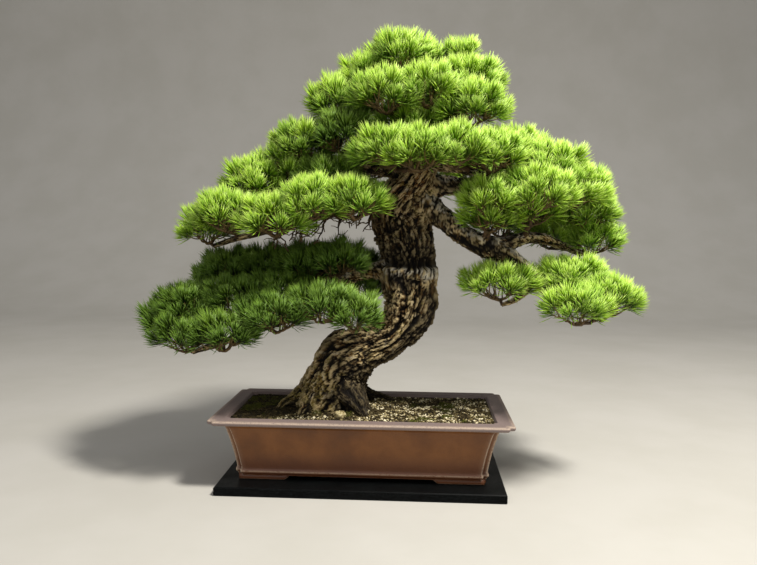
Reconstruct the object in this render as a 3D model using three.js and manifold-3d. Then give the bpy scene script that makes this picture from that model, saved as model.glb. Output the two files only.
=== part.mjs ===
// Bonsai pine in a rectangular clay pot that stands on a low display board.
// Millimetres, +Z up, front towards -Y, origin at the middle of the board's underside.

import * as THREE from 'three';
import { mergeVertices } from 'three/addons/utils/BufferGeometryUtils.js';
import Module from 'manifold-3d';

const wasm = await Module();
wasm.setup();

// ---- Driving dimensions ----------------------------------------------------

const GAP = 0.3;

const BOARD = { length: 570, width: 297, height: 18, chamfer: 2 };

const POT = {
  length: 600,
  width: 300,
  height: 130,
  notch: 12,
  footHeight: 10,
  footFront: 108,
  footSide: 60,
  footThick: 15,
  footSetIn: 2,
  footNotch: 4,
  footCurl: 20,
  footSink: 3,
  drainRadius: 13,
  drainX: 130,
};

const RIM_TOP = BOARD.height + POT.height;

// How far the outside of the pot stands in from the rim's outline, at each depth below the rim.
const POT_OUTSIDE = [
  { depth: 0, inset: 2.5, notch: 12 },
  { depth: 3, inset: 0, notch: 12 },
  { depth: 9.5, inset: 0.8, notch: 12 },
  { depth: 12, inset: 13, notch: 12 },
  { depth: 13.5, inset: 22, notch: 12 },
  { depth: 19, inset: 27, notch: 12 },
  { depth: 38, inset: 33, notch: 12 },
  { depth: 66, inset: 40, notch: 12 },
  { depth: 108, inset: 47.5, notch: 12 },
  { depth: 111, inset: 45.5, notch: 12 },
  { depth: 116, inset: 45.5, notch: 12 },
  { depth: 120, inset: 48.5, notch: 12 },
];

// The same for the hollow inside.
const POT_INSIDE = [
  { depth: 0, inset: 32, notch: 4 },
  { depth: 25, inset: 44, notch: 14 },
  { depth: 109, inset: 60, notch: 14 },
];

const FLOOR_TOP = RIM_TOP - POT_INSIDE[POT_INSIDE.length - 1].depth;

const SOIL = {
  depthAtRim: 6,
  mound: 11,
  moundX: -60,
  moundReach: 120,
  wave: 1.5,
  step: 76,
  rings: 2,
  trunkGap: 0.4,
};

const SCREEN = { size: 44, thick: 1.4, holes: 3, hole: 8 };

// The trunk's middle line, from its foot in the soil to the apex, with its radius.
const TRUNK = [
  [-70, 6, 112, 62],
  [-70, 6, 150, 74],
  [-68, 5, 178, 68],
  [-62, 3, 208, 62],
  [-46, 0, 242, 59],
  [-14, -2, 266, 50],
  [20, -3, 280, 43],
  [50, -4, 296, 41],
  [75, -5, 324, 46],
  [91, -6, 355, 53],
  [95, -6, 390, 57],
  [91, -5, 420, 57],
  [95, -4, 438, 56],
  [92, 1, 457, 52],
  [84, 4, 490, 57],
  [72, 6, 524, 58],
  [62, 2, 556, 51],
  [80, -4, 592, 43],
  [100, -10, 622, 36],
  [112, -16, 652, 31],
  [107, -20, 695, 26],
  [92, -20, 742, 21],
  [86, -18, 790, 16],
  [84, -16, 832, 9],
];

const KNOB = [
  [-36, -4, 246, 34],
  [-52, -6, 268, 35],
  [-62, -8, 284, 24],
];

const ROOTS = [
  [[-40, 24, 186, 24], [-6, 44, 168, 13], [24, 56, 158, 8], [48, 62, 150, 6], [64, 64, 143, 5]],
  [[-98, 8, 186, 30], [-134, 0, 168, 20], [-164, -8, 154, 12], [-186, -14, 138, 6]],
  [[-84, -26, 190, 30], [-106, -52, 166, 20], [-126, -72, 140, 9]],
  [[-40, -26, 186, 28], [-14, -54, 166, 18], [6, -70, 142, 8]],
  [[-88, 34, 192, 28], [-112, 60, 166, 18], [-128, 78, 142, 8]],
  [[-26, 0, 178, 24], [-8, -12, 161, 15], [10, -22, 142, 8]],
];

// Faces round the wood, and the trunk's relief as a share of its radius. ledgeAt is a point of TRUNK.
const BARK = {
  trunkSides: 14,
  knobSides: 9,
  rootSides: 7,
  limbSides: 6,
  ridge: 0.045,
  plate: 0.03,
  ledge: 0.06,
  recess: 0.12,
  ledgeAt: 12,
};

// Every limb leaves the trunk with its first point inside the trunk.
const LIMBS = {
  leftUpper: [[60, 0, 588, 22], [25, -8, 582, 18], [-41, -25, 566, 13], [-121, -45, 542, 10],
    [-208, -50, 516, 8], [-275, -45, 498, 6], [-312, -36, 486, 5]],
  leftHigh: [[100, -12, 636, 20], [50, -10, 648, 18], [-8, -12, 650, 14], [-90, -18, 647, 11],
    [-160, -18, 617, 8], [-214, -12, 580, 6]],
  leftLower: [[92, 8, 448, 24], [48, 6, 440, 19], [-23, 5, 430, 15], [-109, 15, 418, 12],
    [-197, 25, 404, 9], [-276, 32, 391, 7], [-314, 38, 378, 5]],
  leftDrop: [[-20, 4, 431, 14], [-50, -14, 419, 13], [-84, -40, 390, 12], [-137, -66, 350, 11],
    [-215, -80, 318, 9], [-290, -82, 290, 7], [-344, -82, 272, 5]],
  leftFore: [[-62, -24, 407, 10], [-50, -60, 374, 10], [-32, -90, 344, 7], [-12, -108, 324, 5]],
  rightDrooping: [[78, 2, 588, 28], [122, -6, 572, 27], [153, -15, 551, 23], [185, -28, 524, 22],
    [214, -38, 504, 21], [250, -50, 489, 21], [284, -56, 478, 18]],
  rightLow: [[250, -50, 489, 18], [300, -59, 466, 13], [330, -62, 442, 10], [352, -64, 410, 8],
    [398, -66, 386, 7], [440, -68, 368, 6], [466, -70, 350, 5]],
  rightLowBack: [[336, -62, 434, 8], [326, -64, 404, 7], [300, -66, 384, 6], [276, -66, 374, 4]],
  rightRising: [[262, -53, 484, 17], [300, -46, 500, 15], [345, -28, 508, 12], [400, 0, 494, 9],
    [446, 14, 474, 6]],
  rightUpper: [[92, -6, 604, 26], [140, -8, 612, 22], [200, -16, 612, 18], [272, -30, 604, 14],
    [345, -40, 600, 11], [404, -40, 570, 7]],
  crownRight: [[92, -20, 742, 15], [118, -38, 748, 13], [156, -56, 746, 11], [204, -74, 722, 8]],
  crownHigh: [[88, -18, 776, 12], [120, -8, 786, 11], [164, -8, 788, 9], [196, -18, 776, 6]],
  crownLeft: [[92, -20, 748, 14], [52, -20, 762, 12], [6, -16, 766, 9], [-44, -18, 740, 6]],
  crownBack: [[88, -14, 770, 13], [88, 30, 788, 11], [92, 76, 800, 8], [136, 98, 788, 6]],
  foreLeft: [[108, -20, 648, 17], [92, -60, 648, 12], [66, -100, 638, 8]],
  foreRight: [[114, -20, 650, 18], [148, -58, 650, 13], [198, -88, 638, 9], [234, -98, 628, 6]],
  back: [[78, 6, 586, 26], [86, 62, 606, 21], [98, 120, 618, 17], [106, 180, 612, 13],
    [110, 236, 588, 8]],
  backLeft: [[84, 60, 606, 16], [44, 110, 618, 12], [2, 156, 622, 8]],
  backRight: [[96, 118, 618, 16], [150, 150, 622, 12], [216, 172, 612, 8]],
};

// Sprays: the middle of the dome that each spray's tufts lie on, and its reach along X, Y and Z.
const SPRAYS = {
  crown_top: [70, -20, 856, 48, 52, 26],
  crown_peak: [200, 10, 864, 14, 20, 14],
  crown_right_high: [205, -30, 802, 48, 52, 26],
  crown_right_low: [212, -88, 742, 50, 48, 24],
  crown_front: [45, -110, 762, 52, 45, 24],
  crown_middle: [125, -100, 776, 44, 44, 24],
  crown_left_high: [4, 0, 816, 40, 52, 26],
  crown_left: [-54, -20, 764, 42, 56, 28],
  crown_back: [85, 110, 830, 60, 52, 26],
  crown_back_right: [200, 110, 798, 50, 52, 26],
  front_left: [50, -130, 658, 45, 42, 24],
  front_middle: [112, -150, 650, 45, 42, 22],
  front_right: [176, -140, 656, 48, 44, 24],
  front_far_right: [246, -112, 650, 52, 48, 24],
  shaded_left: [-46, -60, 694, 50, 52, 28],
  shaded_low: [-75, -40, 612, 52, 48, 24],
  left_tip: [-325, -32, 510, 40, 44, 24],
  left_low: [-270, -82, 534, 52, 46, 26],
  left_slope: [-226, -10, 604, 48, 54, 28],
  left_high: [-128, -18, 678, 46, 56, 30],
  left_front: [-166, -120, 526, 50, 45, 26],
  left_near: [-90, -130, 560, 50, 44, 26],
  left_inner: [-8, -138, 560, 46, 38, 24],
  left_back: [-220, 85, 556, 64, 52, 26],
  lower_tip_high: [-328, 40, 404, 36, 42, 20],
  lower_high: [-290, 32, 424, 48, 52, 22],
  lower_middle: [-214, 42, 428, 50, 54, 22],
  lower_inner: [-126, 58, 434, 50, 48, 22],
  lower_near_trunk: [-22, 86, 424, 42, 42, 20],
  lower_tip: [-402, -40, 320, 36, 42, 24],
  lower_slope: [-356, -54, 350, 46, 52, 26],
  lower_tip_low: [-352, -104, 296, 44, 42, 20],
  lower_front: [-266, -122, 302, 45, 42, 22],
  lower_deep: [-256, -54, 364, 54, 52, 26],
  lower_under: [-166, -112, 338, 50, 46, 24],
  lower_fore: [-76, -116, 360, 50, 44, 24],
  lower_last: [-14, -122, 342, 36, 36, 22],
  right_high: [296, -28, 668, 48, 52, 26],
  right_middle: [362, -48, 634, 52, 52, 26],
  right_tip: [416, -42, 588, 50, 56, 30],
  right_front: [336, -112, 578, 50, 44, 26],
  right_inner: [248, -102, 570, 42, 40, 22],
  right_back: [362, 86, 640, 60, 52, 26],
  rising_tip: [468, 20, 490, 42, 46, 22],
  rising_middle: [388, 58, 504, 50, 48, 24],
  rising_inner: [284, 56, 528, 44, 42, 22],
  low_inner: [274, -66, 404, 54, 44, 20],
  low_middle: [420, -38, 410, 56, 52, 22],
  low_front: [408, -122, 364, 42, 42, 20],
  low_tip: [482, -72, 374, 42, 46, 22],
  back_high: [132, 198, 712, 68, 56, 26],
  back_left: [-5, 188, 660, 62, 56, 26],
  back_right: [250, 186, 646, 62, 56, 26],
  back_far: [110, 272, 616, 62, 50, 24],
};

const SHOOT = {
  limbRadius: 5,
  tipRadius: 3,
  stemLength: 9,
  stemClear: 0.8,
  standOff: 4,
  hubRadius: 2,
  twigRadius: 1.3,
  forkAt: 0.12,
  hubDepth: 20,
  longest: 60,
  limbShare: 0.8,
  dropCost: 1.5,
  sides: 4,
};

const TUFT = {
  sides: 4,
  budLength: 7,
  budRadius: 1.8,
  spacing: 20,
  lean: 0.62,
  rimLift: 0.05,
  sharedPart: 0.3,
  attempts: 10,
  sidestep: 0.35,
};

const NEEDLE = {
  length: 46,
  spread: 0.12,
  lowAngle: 100,
  highAngle: 14,
  dropped: 0.05,
  halfWidth: 1.1,
  rootRadius: 2.2,
  clear: 0.5,
  shortest: 24,
  step: 0.82,
  bareFoot: 0.02,
  thickPart: 0.3,
};

const COLOURS = {
  bark: { color: 0x5b4636, roughness: 0.95, metalness: 0 },
  needles: { color: 0x63a326, roughness: 0.6, metalness: 0 },
  soil: { color: 0x675a34, roughness: 1, metalness: 0 },
  clay: { color: 0x7a4a35, roughness: 0.55, metalness: 0 },
  board: { color: 0x14171a, roughness: 0.5, metalness: 0 },
  screen: { color: 0x20262a, roughness: 0.7, metalness: 0 },
};

// ---- Random draws, the same in every run -----------------------------------

function seeded(seed) {
  let state = seed;
  return () => {
    state = (state + 0x6d2b79f5) | 0;
    let mixed = Math.imul(state ^ (state >>> 15), 1 | state);
    mixed = (mixed + Math.imul(mixed ^ (mixed >>> 7), 61 | mixed)) ^ mixed;
    return ((mixed ^ (mixed >>> 14)) >>> 0) / 4294967296;
  };
}

// ---- Solids: from a geometry to a solid that can be joined and cut, and back ----

function closed(geometry) {
  const bare = geometry.clone();
  for (const name of Object.keys(bare.attributes)) {
    if (name !== 'position') bare.deleteAttribute(name);
  }
  return mergeVertices(bare, 1e-4);
}

function solid(geometry) {
  const merged = closed(geometry);
  return new wasm.Manifold(new wasm.Mesh({
    numProp: 3,
    vertProperties: new Float32Array(merged.attributes.position.array),
    triVerts: new Uint32Array(merged.index.array),
  }));
}

function joined(solids) {
  return wasm.Manifold.union(solids);
}

/** The largest body of a solid, without the loose scraps. */
function largest(shape) {
  const bodies = shape.decompose();
  return bodies.reduce((best, body) => (body.volume() > best.volume() ? body : best));
}

function geometryOf(shape) {
  const mesh = shape.simplify(0.01).getMesh();
  const geometry = new THREE.BufferGeometry();
  geometry.setAttribute('position', new THREE.BufferAttribute(new Float32Array(mesh.vertProperties), 3));
  geometry.setIndex(new THREE.BufferAttribute(new Uint32Array(mesh.triVerts), 1));
  geometry.computeVertexNormals();
  return geometry;
}

function named(name, geometry, finish) {
  const mesh = new THREE.Mesh(geometry, new THREE.MeshStandardMaterial(finish));
  mesh.name = name;
  return mesh;
}

// ---- Closed tubes: the side of a unit cylinder, with every vertex moved by a rule ----

/** place(around, along, edge) gives a point; around and along run 0 to 1, edge is 0 in a cap's middle. */
function tube(sides, rows, place) {
  const geometry = closed(new THREE.CylinderGeometry(1, 1, 1, sides, rows));
  const position = geometry.attributes.position;
  for (let i = 0; i < position.count; i += 1) {
    const x = position.getX(i);
    const z = position.getZ(i);
    const edge = Math.hypot(x, z) > 0.5 ? 1 : 0;
    const turn = edge ? Math.atan2(x, z) / (2 * Math.PI) : 0;
    const around = (Math.round(turn * sides) + sides) % sides;
    const row = Math.round((position.getY(i) + 0.5) * rows);
    const point = place(around / sides, row / rows, edge);
    position.setXYZ(i, point.x, point.y, point.z);
  }
  return geometry;
}

/** A route of [x, y, z, radius] points as a smooth curve, with a radius at any place along it. */
function route(points) {
  const curve = new THREE.CatmullRomCurve3(points.map(([x, y, z]) => new THREE.Vector3(x, y, z)));
  const last = points.length - 1;
  return {
    curve,
    last,
    at: (along) => curve.getPoint(along),
    radius: (along) => {
      const step = Math.min(Math.floor(along * last), last - 1);
      return THREE.MathUtils.lerp(points[step][3], points[step + 1][3], along * last - step);
    },
  };
}

/** A point at a reach and an angle from a centre, on the plane that a and b span. */
function offCentre(centre, a, b, angle, reach) {
  const point = centre.clone().addScaledVector(a, reach * Math.sin(angle));
  return point.addScaledVector(b, reach * Math.cos(angle));
}

/**
 * Wood along a route: a ring square to it at each point, its radius times the relief, plus extra.
 * relief(angle, row, facing) has facing 1 where the ring faces the front and -1 at the back.
 */
function wood(points, sides, relief, extra = 0) {
  const line = route(points);
  const rows = line.last;
  const frames = [];
  let across = new THREE.Vector3(0, -1, 0);
  for (let row = 0; row <= rows; row += 1) {
    const tangent = line.curve.getTangent(row / rows);
    across = across.clone().addScaledVector(tangent, -across.dot(tangent)).normalize();
    const over = across.clone().cross(tangent);
    frames.push({ centre: line.at(row / rows), across, over });
  }
  return tube(sides, rows, (around, along, edge) => {
    const { centre, across: a, over: b } = frames[Math.round(along * rows)];
    const angle = around * 2 * Math.PI;
    const facing = -(a.y * Math.sin(angle) + b.y * Math.cos(angle));
    const reach = edge * (line.radius(along) * relief(angle, along * rows, facing) + extra);
    return offCentre(centre, a, b, angle, reach);
  });
}

const plainBark = () => 1;

/** Long ridges that wind round the trunk, plates on them, and a ledge at the front under a recess. */
function trunkBark(angle, row, facing) {
  const ridges = BARK.ridge * Math.sin(5 * angle + 0.9 * row);
  const plates = BARK.plate * Math.sin(3 * angle - 2.3 * row + 1);
  const ledge = BARK.ledge * Math.exp(-(((row - BARK.ledgeAt) / 0.5) ** 2));
  const recess = BARK.recess * Math.exp(-(((row - BARK.ledgeAt - 1) / 0.7) ** 2));
  return 1 + ridges + plates + Math.max(0, facing) * (ledge - recess);
}

// ---- Wood: trunk, knob, roots and limbs, grown as one piece --------------------

function woodParts(extra) {
  const parts = [
    wood(TRUNK, BARK.trunkSides, trunkBark, extra),
    wood(KNOB, BARK.knobSides, plainBark, extra),
    ...ROOTS.map((root) => wood(root, BARK.rootSides, plainBark, extra)),
  ];
  return parts.map(solid);
}

/** Straight pieces with a radius, used to keep twigs and needles clear of each other. */
const obstacles = [];

function addObstacle(start, end, radius, owner) {
  const middle = start.clone().add(end).multiplyScalar(0.5);
  obstacles.push({ start, end, radius, owner, middle, half: start.distanceTo(end) / 2 + radius });
}

function addWoodObstacles(points) {
  const line = route(points);
  const steps = line.last * 3;
  for (let i = 0; i < steps; i += 1) {
    const thick = Math.max(line.radius(i / steps), line.radius((i + 1) / steps));
    addObstacle(line.at(i / steps), line.at((i + 1) / steps), thick * 1.06, 'wood');
  }
}

/** The shortest distance between two straight pieces. */
function distanceBetween(a, b, c, d) {
  const u = b.clone().sub(a);
  const v = d.clone().sub(c);
  const w = a.clone().sub(c);
  const uu = u.dot(u);
  const uv = u.dot(v);
  const vv = v.dot(v);
  const uw = u.dot(w);
  const vw = v.dot(w);
  const spread = uu * vv - uv * uv;
  const clamp = (value) => Math.min(Math.max(value, 0), 1);
  let s = spread > 1e-9 ? clamp((uv * vw - vv * uw) / spread) : 0;
  const t = clamp((uv * s + vw) / vv);
  s = clamp((uv * t - uw) / uu);
  return a.clone().addScaledVector(u, s).distanceTo(c.clone().addScaledVector(v, t));
}

function isClear(start, end, radius, clearance, skip) {
  const middle = start.clone().add(end).multiplyScalar(0.5);
  const half = start.distanceTo(end) / 2 + radius + clearance;
  return obstacles.every((other) => {
    if (skip(other)) return true;
    if (other.middle.distanceTo(middle) > other.half + half) return true;
    return distanceBetween(start, end, other.start, other.end) >= radius + other.radius + clearance;
  });
}

// ---- Sprays: a twig core with tufts of needles ----------------------------------

/** The place on a limb where a spray's shoot starts: near the spray, and below it rather than above. */
function limbPlace(centre) {
  let best = null;
  for (const points of [TRUNK, ...Object.values(LIMBS)]) {
    const line = route(points);
    const steps = line.last * 4;
    for (let i = 2; i <= steps; i += 1) {
      const point = line.at(i / steps);
      const away = centre.clone().sub(point);
      const cost = away.length() + Math.max(0, -away.z) * SHOOT.dropCost;
      if (!best || cost < best.cost) best = { point, cost, radius: line.radius(i / steps) };
    }
  }
  return best;
}

/** A plain tapered stick between two points, closed at both ends. */
function stick(start, end, startRadius, endRadius, sides) {
  const along = end.clone().sub(start);
  const geometry = new THREE.CylinderGeometry(endRadius, startRadius, along.length(), sides);
  const turn = new THREE.Quaternion().setFromUnitVectors(new THREE.Vector3(0, 1, 0), along.normalize());
  geometry.applyQuaternion(turn);
  const middle = start.clone().add(end).multiplyScalar(0.5);
  return geometry.translate(middle.x, middle.y, middle.z);
}

/** A twig through the given stations, closed by a bud that points along its axis. */
function twigGeometry(stations, { base, axis }) {
  const { sides, budLength, budRadius } = TUFT;
  const rings = [
    ...stations,
    { point: base, radius: budRadius * 0.75 },
    { point: base.clone().addScaledVector(axis, budLength * 0.4), radius: budRadius },
    { point: base.clone().addScaledVector(axis, budLength * 0.85), radius: budRadius * 0.7 },
  ];
  const rows = rings.length - 1;
  let across = new THREE.Vector3(0.6, -0.8, 0);
  const frames = rings.map(({ point }, i) => {
    const before = rings[Math.max(i - 1, 0)].point;
    const after = rings[Math.min(i + 1, rows)].point;
    const along = after.clone().sub(before).normalize();
    across = across.clone().addScaledVector(along, -across.dot(along)).normalize();
    return { point, across, over: across.clone().cross(along) };
  });
  const budTip = base.clone().addScaledVector(axis, budLength);
  return tube(sides, rows, (around, along, edge) => {
    const row = Math.round(along * rows);
    if (!edge && row === rows) return budTip;
    const { point, across: a, over: b } = frames[row];
    const angle = around * 2 * Math.PI;
    return offCentre(point, a, b, angle, edge * rings[row].radius);
  });
}

/** The twig with most faces of its bud each raised into one three-sided needle. */
function tuft(stations, place, random) {
  const { base, axis, owner } = place;
  const twig = twigGeometry(stations, place);
  const { position } = twig.attributes;
  const corner = (i) => new THREE.Vector3().fromBufferAttribute(position, twig.index.getX(i));
  const points = [];
  const needles = [];
  for (let i = 0; i < twig.index.count; i += 3) {
    const face = [corner(i), corner(i + 1), corner(i + 2)];
    const root = face[0].clone().add(face[1]).add(face[2]).divideScalar(3);
    const height = root.clone().sub(base).dot(axis) / TUFT.budLength;
    const outward = root.clone().sub(base).addScaledVector(axis, -height * TUFT.budLength).normalize();
    const degrees = THREE.MathUtils.lerp(NEEDLE.lowAngle, NEEDLE.highAngle, height);
    const angle = THREE.MathUtils.degToRad(degrees);
    const way = axis.clone().multiplyScalar(Math.cos(angle)).addScaledVector(outward, Math.sin(angle));
    const length = NEEDLE.length * (1 - NEEDLE.spread * random());
    const bare = height < NEEDLE.bareFoot || random() < NEEDLE.dropped;
    const tip = bare ? null : needleTip(root, way, length, owner);
    if (tip) {
      needles.push([root, tip]);
      for (let k = 0; k < 3; k += 1) points.push(face[k], face[(k + 1) % 3], tip);
    } else {
      points.push(...face);
    }
  }
  for (const [root, tip] of needles) {
    addObstacle(root, tip, NEEDLE.halfWidth, owner);
    addObstacle(root, root.clone().lerp(tip, NEEDLE.thickPart), NEEDLE.rootRadius, owner);
  }
  return new THREE.BufferGeometry().setFromPoints(points);
}

/** The end of a needle at the longest length that is clear of everything else, or null. */
function needleTip(start, way, length, owner) {
  const own = (other) => other.owner === owner;
  for (let reach = length; reach >= NEEDLE.shortest; reach *= NEEDLE.step) {
    const tip = start.clone().addScaledVector(way, reach);
    if (isClear(start, tip, NEEDLE.halfWidth, NEEDLE.clear, own)) return tip;
  }
  return null;
}

/** Plans one spray: the shoot on its limb, the stem, and how many tufts it carries. */
function planSpray(name, [x, y, z, rx, ry, rz], random) {
  const centre = new THREE.Vector3(x, y, z);
  const under = centre.clone().setZ(z - SHOOT.hubDepth);
  const limb = limbPlace(under);
  const nearest = limb.radius + SHOOT.standOff + SHOOT.stemLength;
  const close = under.distanceTo(limb.point) < nearest;
  const towards = (close ? centre : under).clone().sub(limb.point).normalize();
  const onShoot = (distance) => limb.point.clone().addScaledVector(towards, distance);
  const blocked = (distance) => !isClear(
    onShoot(distance - SHOOT.stemLength), onShoot(distance),
    SHOOT.tipRadius, SHOOT.stemClear, () => false,
  );
  let hubDistance = Math.max(nearest, under.distanceTo(limb.point));
  const furthest = nearest + SHOOT.longest;
  while (blocked(hubDistance) && hubDistance < furthest) hubDistance += 2;
  const hub = onShoot(hubDistance);
  const stemStart = onShoot(hubDistance - SHOOT.stemLength);
  const shootEnd = onShoot(hubDistance - SHOOT.stemLength - GAP);
  const shootRadius = Math.min(SHOOT.limbRadius, limb.radius * SHOOT.limbShare);
  const shoot = stick(limb.point, shootEnd, shootRadius, SHOOT.tipRadius, SHOOT.sides);
  const count = Math.max(2, Math.round(Math.sqrt(rx * ry) / TUFT.spacing));
  addObstacle(limb.point, shootEnd, shootRadius, name);
  addObstacle(stemStart, hub, SHOOT.tipRadius, `${name}#0`);
  return { name, centre, reach: [rx, ry, rz], hub, stemStart, shoot, count, random, tufts: [] };
}

/** Sets the twigs of a planned spray on its dome, in a sunflower spiral from the middle outwards. */
function placeTwigs(plan) {
  const [rx, ry, rz] = plan.reach;
  const golden = Math.PI * (3 - Math.sqrt(5));
  const start = plan.random() * 2 * Math.PI;
  const own = (other) => other.owner.split('#')[0] === plan.name;
  for (let i = 0; i < plan.count; i += 1) {
    const out = Math.sqrt((i + 0.6) / plan.count);
    const owner = `${plan.name}#${i}`;
    for (let attempt = 0; attempt < TUFT.attempts; attempt += 1) {
      const aside = attempt * TUFT.sidestep * (attempt % 2 ? 1 : -1);
      const angle = start + i * golden + aside;
      const rise = rz * Math.sqrt(Math.max(0, TUFT.rimLift + 1 - out * out));
      const offset = new THREE.Vector3(rx * out * Math.cos(angle), ry * out * Math.sin(angle), rise);
      const bud = plan.centre.clone().add(offset);
      const free = plan.hub.clone().lerp(bud, TUFT.sharedPart);
      if (isClear(free, bud, SHOOT.twigRadius + 1, 1, own)) {
        const axis = new THREE.Vector3(offset.x / rx, offset.y / ry, 0).multiplyScalar(TUFT.lean);
        axis.setZ(1).normalize();
        plan.tufts.push({ base: bud, axis, owner });
        addObstacle(plan.hub, bud, TUFT.budRadius, owner);
        addObstacle(bud, bud.clone().addScaledVector(axis, TUFT.budLength), NEEDLE.rootRadius, owner);
        break;
      }
    }
  }
}

/** The stem runs on into the first twig, and the other twigs leave it at the hub. */
function buildSpray({ hub, stemStart, tufts, random }) {
  const stem = { point: stemStart, radius: SHOOT.tipRadius };
  const fork = { point: hub, radius: SHOOT.hubRadius };
  const branch = { point: hub.clone().lerp(tufts[0].base, SHOOT.forkAt), radius: SHOOT.twigRadius };
  const stations = (i) => (i ? [branch] : [stem, fork]);
  return largest(joined(tufts.map((place, i) => solid(tuft(stations(i), place, random)))));
}

// ---- Pot, feet and drain screens -------------------------------------------------

/** A rectangle with a square notch at each corner, anticlockwise from the front left. */
function notchedOutline(length, width, notch) {
  const x = length / 2;
  const y = width / 2;
  return [
    [-x + notch, -y], [x - notch, -y], [x - notch, -y + notch], [x, -y + notch],
    [x, y - notch], [x - notch, y - notch], [x - notch, y], [-x + notch, y],
    [-x + notch, y - notch], [-x, y - notch], [-x, -y + notch], [-x + notch, -y + notch],
  ];
}

/** The pot's outline at one level of a profile, drawn in by the level's inset and an extra gap. */
function potOutline({ inset, notch }, extra = 0) {
  const drawn = 2 * (inset + extra);
  return notchedOutline(POT.length - drawn, POT.width - drawn, notch);
}

/** A loft through the levels of a profile, listed from the top down. */
function potLoft(profile) {
  const rising = [...profile].reverse();
  const levels = rising.map((level) => ({ z: RIM_TOP - level.depth, outline: potOutline(level) }));
  const sides = levels[0].outline.length;
  const rows = levels.length - 1;
  return tube(sides, rows, (around, along, edge) => {
    const { z, outline } = levels[Math.round(along * rows)];
    const [x, y] = outline[Math.round(around * sides) % sides];
    return new THREE.Vector3(edge * x, edge * y, z);
  });
}

/** One run of a foot along +X: level underneath, with a hollowed end that curls up to the body. */
function footRun(run) {
  const { footHeight, footCurl } = POT;
  const top = footHeight + POT.footSink;
  const bend = run - footCurl / 2;
  const shape = new THREE.Shape();
  shape.moveTo(0, 0);
  shape.lineTo(run - footCurl, 0);
  shape.quadraticCurveTo(bend - 2, 0, bend, footHeight * 0.55);
  shape.quadraticCurveTo(bend + 2, footHeight, run, footHeight);
  shape.lineTo(run, top);
  shape.lineTo(0, top);
  const geometry = new THREE.ExtrudeGeometry(shape, {
    depth: POT.footThick, bevelEnabled: false, curveSegments: 3,
  });
  return geometry.rotateX(Math.PI / 2).translate(0, POT.footThick / 2, 0);
}

function buildPot() {
  const below = POT_OUTSIDE[POT_OUTSIDE.length - 1].inset + POT.footSetIn;
  const cornerX = POT.length / 2 - below;
  const cornerY = POT.width / 2 - below;
  const feet = [];
  for (const sx of [-1, 1]) {
    for (const sy of [-1, 1]) {
      const front = footRun(POT.footFront).rotateZ(sx < 0 ? 0 : Math.PI);
      front.translate(sx * (cornerX - POT.footNotch), sy * (cornerY - POT.footThick / 2), BOARD.height);
      const side = footRun(POT.footSide).rotateZ(-sy * Math.PI / 2);
      side.translate(sx * (cornerX - POT.footThick / 2), sy * (cornerY - POT.notch), BOARD.height);
      feet.push(solid(front), solid(side));
    }
  }
  const drains = [-1, 1].map((side) => {
    const hole = new THREE.CylinderGeometry(POT.drainRadius, POT.drainRadius, POT.height, 16);
    return solid(hole.rotateX(Math.PI / 2).translate(side * POT.drainX, 0, FLOOR_TOP));
  });
  const mouth = { ...POT_INSIDE[0], depth: -1 };
  const hollow = solid(potLoft([mouth, ...POT_INSIDE]));
  return joined([solid(potLoft(POT_OUTSIDE)), ...feet]).subtract(joined([hollow, ...drains]));
}

/** A square of plastic netting, with a grid of square holes. */
function buildScreen() {
  const { size, thick, holes, hole } = SCREEN;
  const pitch = size / (holes + 0.5);
  const middle = (index) => (index - (holes - 1) / 2) * pitch;
  const cuts = [];
  for (let i = 0; i < holes; i += 1) {
    for (let j = 0; j < holes; j += 1) {
      cuts.push(solid(new THREE.BoxGeometry(hole, hole, 3 * thick).translate(middle(i), middle(j), 0)));
    }
  }
  return solid(new THREE.BoxGeometry(size, size, thick)).subtract(joined(cuts));
}

// ---- Soil --------------------------------------------------------------------------

/** The ground's height: a mound round the trunk, with low waves that die out at the rim. */
function ground(x, y, inward) {
  const away = Math.hypot(x - SOIL.moundX, y * 1.6) / SOIL.moundReach;
  const waves = SOIL.wave * Math.sin(x / 19 + 1) * Math.cos(y / 14);
  return RIM_TOP - SOIL.depthAtRim + inward * waves + SOIL.mound * Math.exp(-away * away);
}

/** An outline with every edge cut into as many steps as the same edge of a model outline. */
function divided(outline, model) {
  return outline.flatMap(([x, y], i) => {
    const next = (i + 1) % outline.length;
    const [nextX, nextY] = outline[next];
    const edge = Math.hypot(model[next][0] - model[i][0], model[next][1] - model[i][1]);
    const count = Math.max(1, Math.round(edge / SOIL.step));
    return Array.from({ length: count }, (_, k) => [
      THREE.MathUtils.lerp(x, nextX, k / count),
      THREE.MathUtils.lerp(y, nextY, k / count),
    ]);
  });
}

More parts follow.
